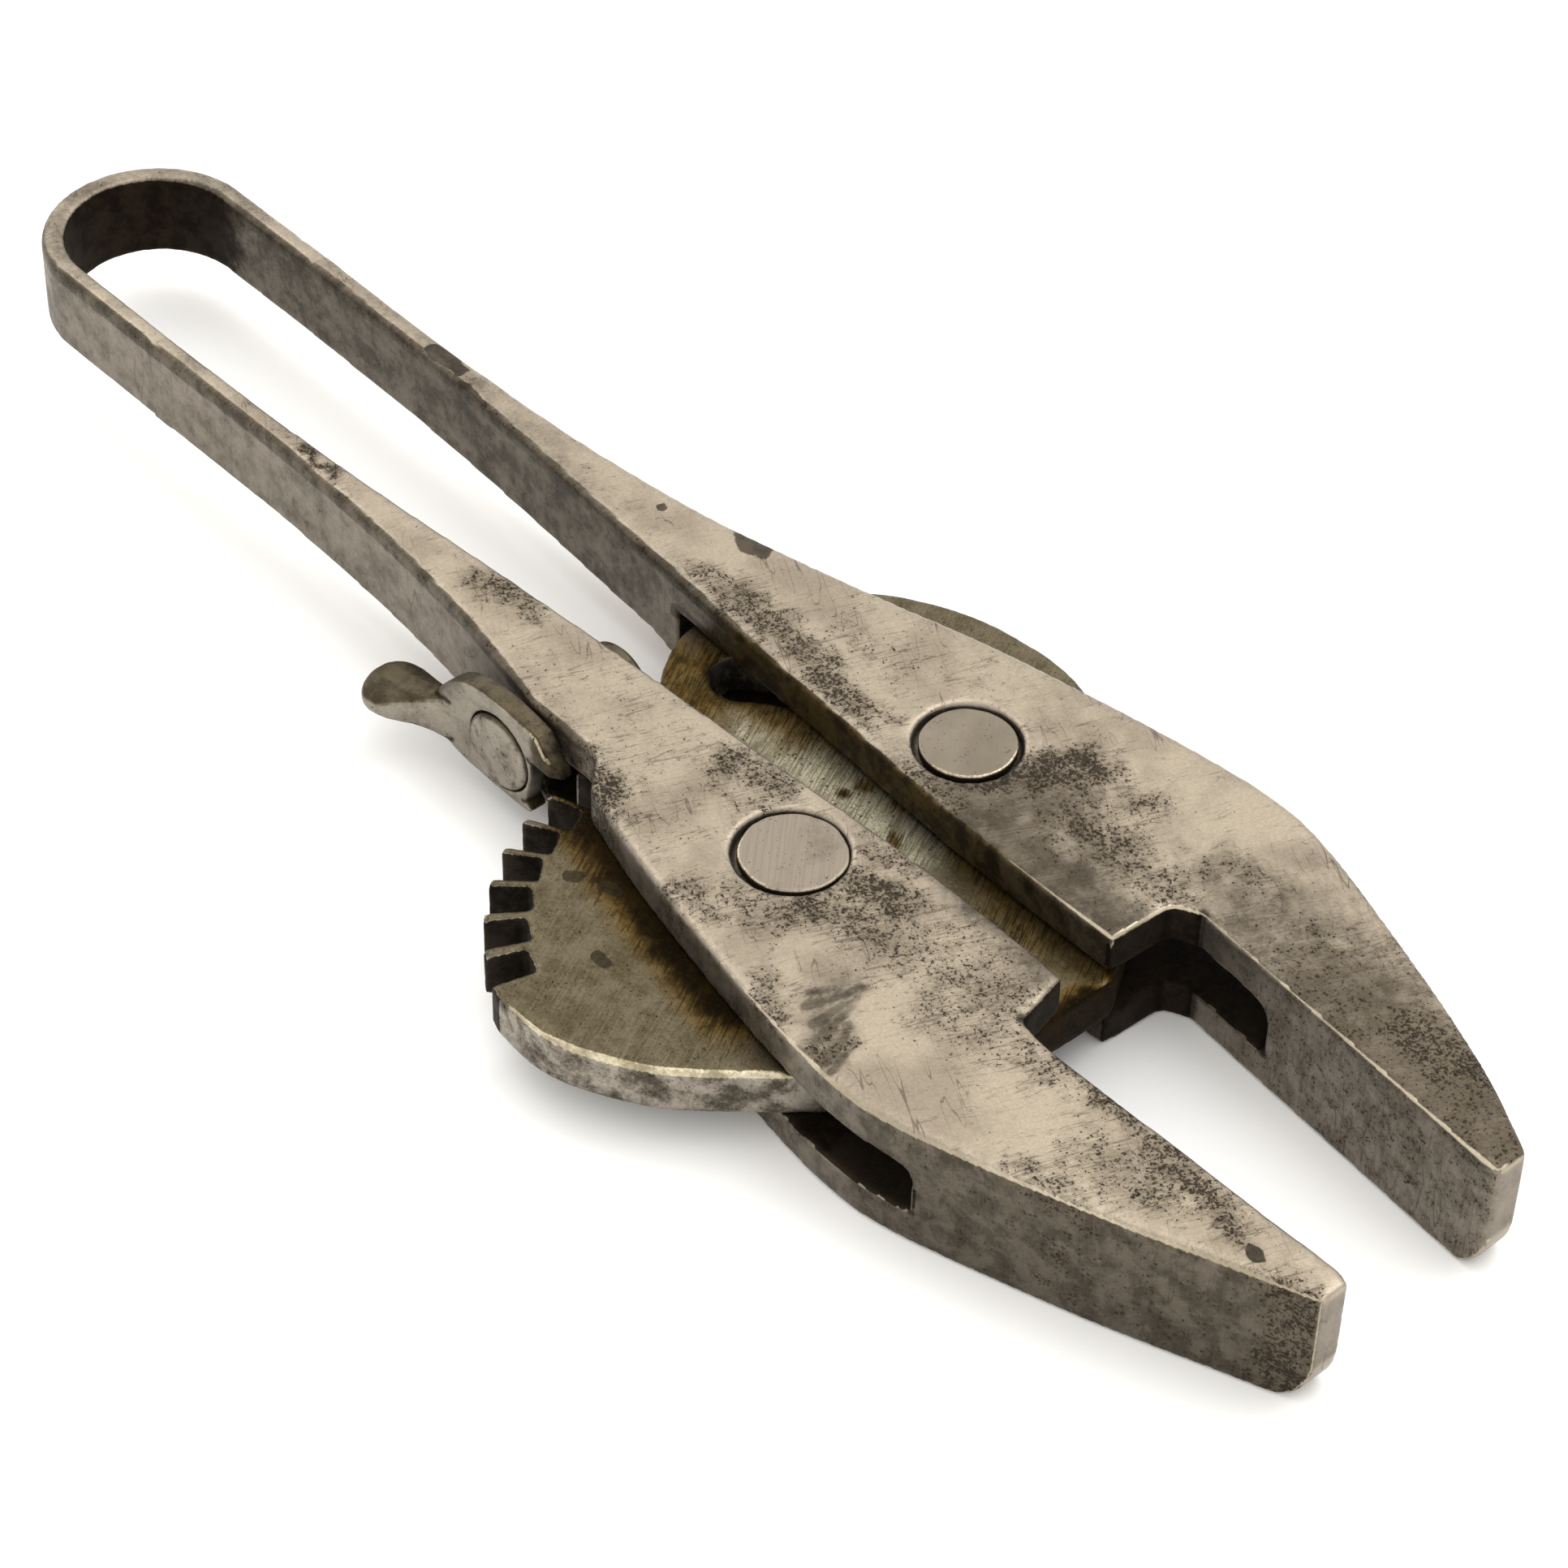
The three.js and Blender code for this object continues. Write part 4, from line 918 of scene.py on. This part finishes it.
def rivetTree():        # a line swept by a circle whose size follows the head and shank rule
    tree = bpy.data.node_groups.new("setRivet", "GeometryNodeTree")
    sockets = [("Geometry", "Geometry"), ("Foot", "Vector"), ("Top", "Vector"), ("Head Radius", "Float"),
               ("Shank Radius", "Float"), ("Head Height", "Float"), ("Brink", "Float"), ("Wobble", "Float"),
               ("Seed", "Float"), ("Metal", "Material")]
    for name, kind in sockets:
        tree.interface.new_socket(name, in_out="INPUT", socket_type="NodeSocket" + kind)
    tree.interface.new_socket("Geometry", in_out="OUTPUT", socket_type="NodeSocketGeometry")
    given = addNode(tree, "NodeGroupInput", {}).outputs

    def add(kind, settings, links=None):
        return addNode(tree, "GeometryNode" + kind, settings, links)

    def maths(operation, links, settings=None, kind="Math"):
        return addNode(tree, "ShaderNode" + kind, {"operation": operation, **(settings or {})}, links)

    def vectors(operation, links, settings=None):
        return maths(operation, links, settings, "VectorMath")

    line = add("CurvePrimitiveLine", {}, {"Start": given["Foot"], "End": given["Top"]})
    line = add("ResampleCurve", {"Count": rivetMake["rings"]}, {"Curve": line})
    place = add("InputPosition", {})
    height, foot, top = (addNode(tree, "ShaderNodeSeparateXYZ", {}, {0: source}).outputs["Z"]
                         for source in (place, given["Foot"], given["Top"]))
    fromEnd = maths("MINIMUM", {0: maths("SUBTRACT", {0: height, 1: foot}),
                                1: maths("SUBTRACT", {0: top, 1: height})})
    isHead = maths("LESS_THAN", {0: fromEnd, 1: given["Head Height"]})
    step = maths("SUBTRACT", {0: given["Head Radius"], 1: given["Shank Radius"]})
    rule = maths("MULTIPLY_ADD", {0: isHead, 1: step, 2: given["Shank Radius"]})
    corner = maths("SUBTRACT", {0: given["Head Radius"], 1: given["Brink"]})
    corner = maths("ADD", {0: corner, 1: fromEnd})
    size = maths("MINIMUM", {0: rule, 1: corner})
    circle = add("CurvePrimitiveCircle", {"Resolution": rivetMake["points"], "Radius": 1.0})
    body = add("CurveToMesh", {"Fill Caps": True},
               {"Curve": line, "Profile Curve": circle, "Scale": size})
    # out of round: each direction from the axis is pushed out or in by a smooth random share
    outward = vectors("SUBTRACT", {0: place, 1: given["Foot"]})
    outward = vectors("MULTIPLY", {0: outward}, {1: (1, 1, 0)})
    outward = vectors("NORMALIZE", {0: outward})
    luck = addNode(tree, "ShaderNodeTexNoise", {"noise_dimensions": "4D", **rivetMake["noise"]},
                   {"Vector": outward, "W": given["Seed"]})
    push = maths("SUBTRACT", {0: luck.outputs[0]}, {1: 0.5})
    push = maths("MULTIPLY", {0: push, 1: given["Wobble"]})
    offset = vectors("SCALE", {0: outward, "Scale": push})
    body = add("SetPosition", {}, {"Geometry": body, "Offset": offset})
    body = add("RealizeInstances", {}, {"Geometry": body})
    body = add("SetMaterial", {}, {"Geometry": body, "Material": given["Metal"]})
    addNode(tree, "NodeGroupOutput", {}, {"Geometry": body})
    return tree


def setRivet(tree, nodeName, rivet, seed):
    low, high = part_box(nodeName)
    centre = [(low[k] + high[k]) / 2 + rivet["shift"][k] * mm for k in (0, 1)]
    values = {"Foot": (*centre, low[2]), "Top": (*centre, high[2]),
              "Head Radius": rivet["headRadius"] * mm, "Shank Radius": rivet["shankRadius"] * mm,
              "Head Height": rivetMake["headHeight"] * mm, "Brink": rivetMake["brink"] * mm,
              "Wobble": rivet["wobble"] * mm, "Seed": float(seed), "Metal": rivetIron}
    made = newObject(nodeName + "Blank", bpy.data.meshes.new("blank"))
    setting = made.modifiers.new("setRivet", "NODES")
    setting.node_group = tree
    for socket in tree.interface.items_tree:
        if socket.name in values:
            setting[socket.identifier] = values[socket.name]
    made.update_tag()
    bpy.context.view_layer.update()
    blank = bpy.data.meshes.new_from_object(made.evaluated_get(bpy.context.evaluated_depsgraph_get()))
    bpy.data.objects.remove(made)
    shape = bmesh.new()
    shape.from_mesh(blank)
    bmesh.ops.remove_doubles(shape, verts=shape.verts, dist=rivetMake["weldGap"] * mm)
    bmesh.ops.recalc_face_normals(shape, faces=shape.faces)
    return shape


def rivetTraces(centre, rivet):
    turns = np.radians(np.linspace(*rivet["bright"], rivetMake["brightSteps"]))
    radius = rivet["headRadius"]
    stations = [(centre[0] + radius * np.cos(t), centre[1] + radius * np.sin(t), 1.0) for t in turns]

    def traces(points, normals, found):
        top = points[:, 2] > points[:, 2].max() - rivetMake["brightDepth"] * mm
        return {"polishAndHighlight": marks(points, path(stations, rivetMake["brightRadius"])) * top,
                "filmAndShading": np.full(len(points), rivet["filmAndShading"])}
    return traces


tree = rivetTree()
for seed, (nodeName, rivet) in enumerate(rivets.items()):
    low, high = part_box(nodeName)
    centre = [(low[k] + high[k]) / 2 / mm for k in (0, 1)]
    shape = setRivet(tree, nodeName, rivet, seed + rivetMake["firstSeed"])
    wornPiece(nodeName, rivet["body"], rivetIron, shape, rivetTraces(centre, rivet), rivetMake["wear"])
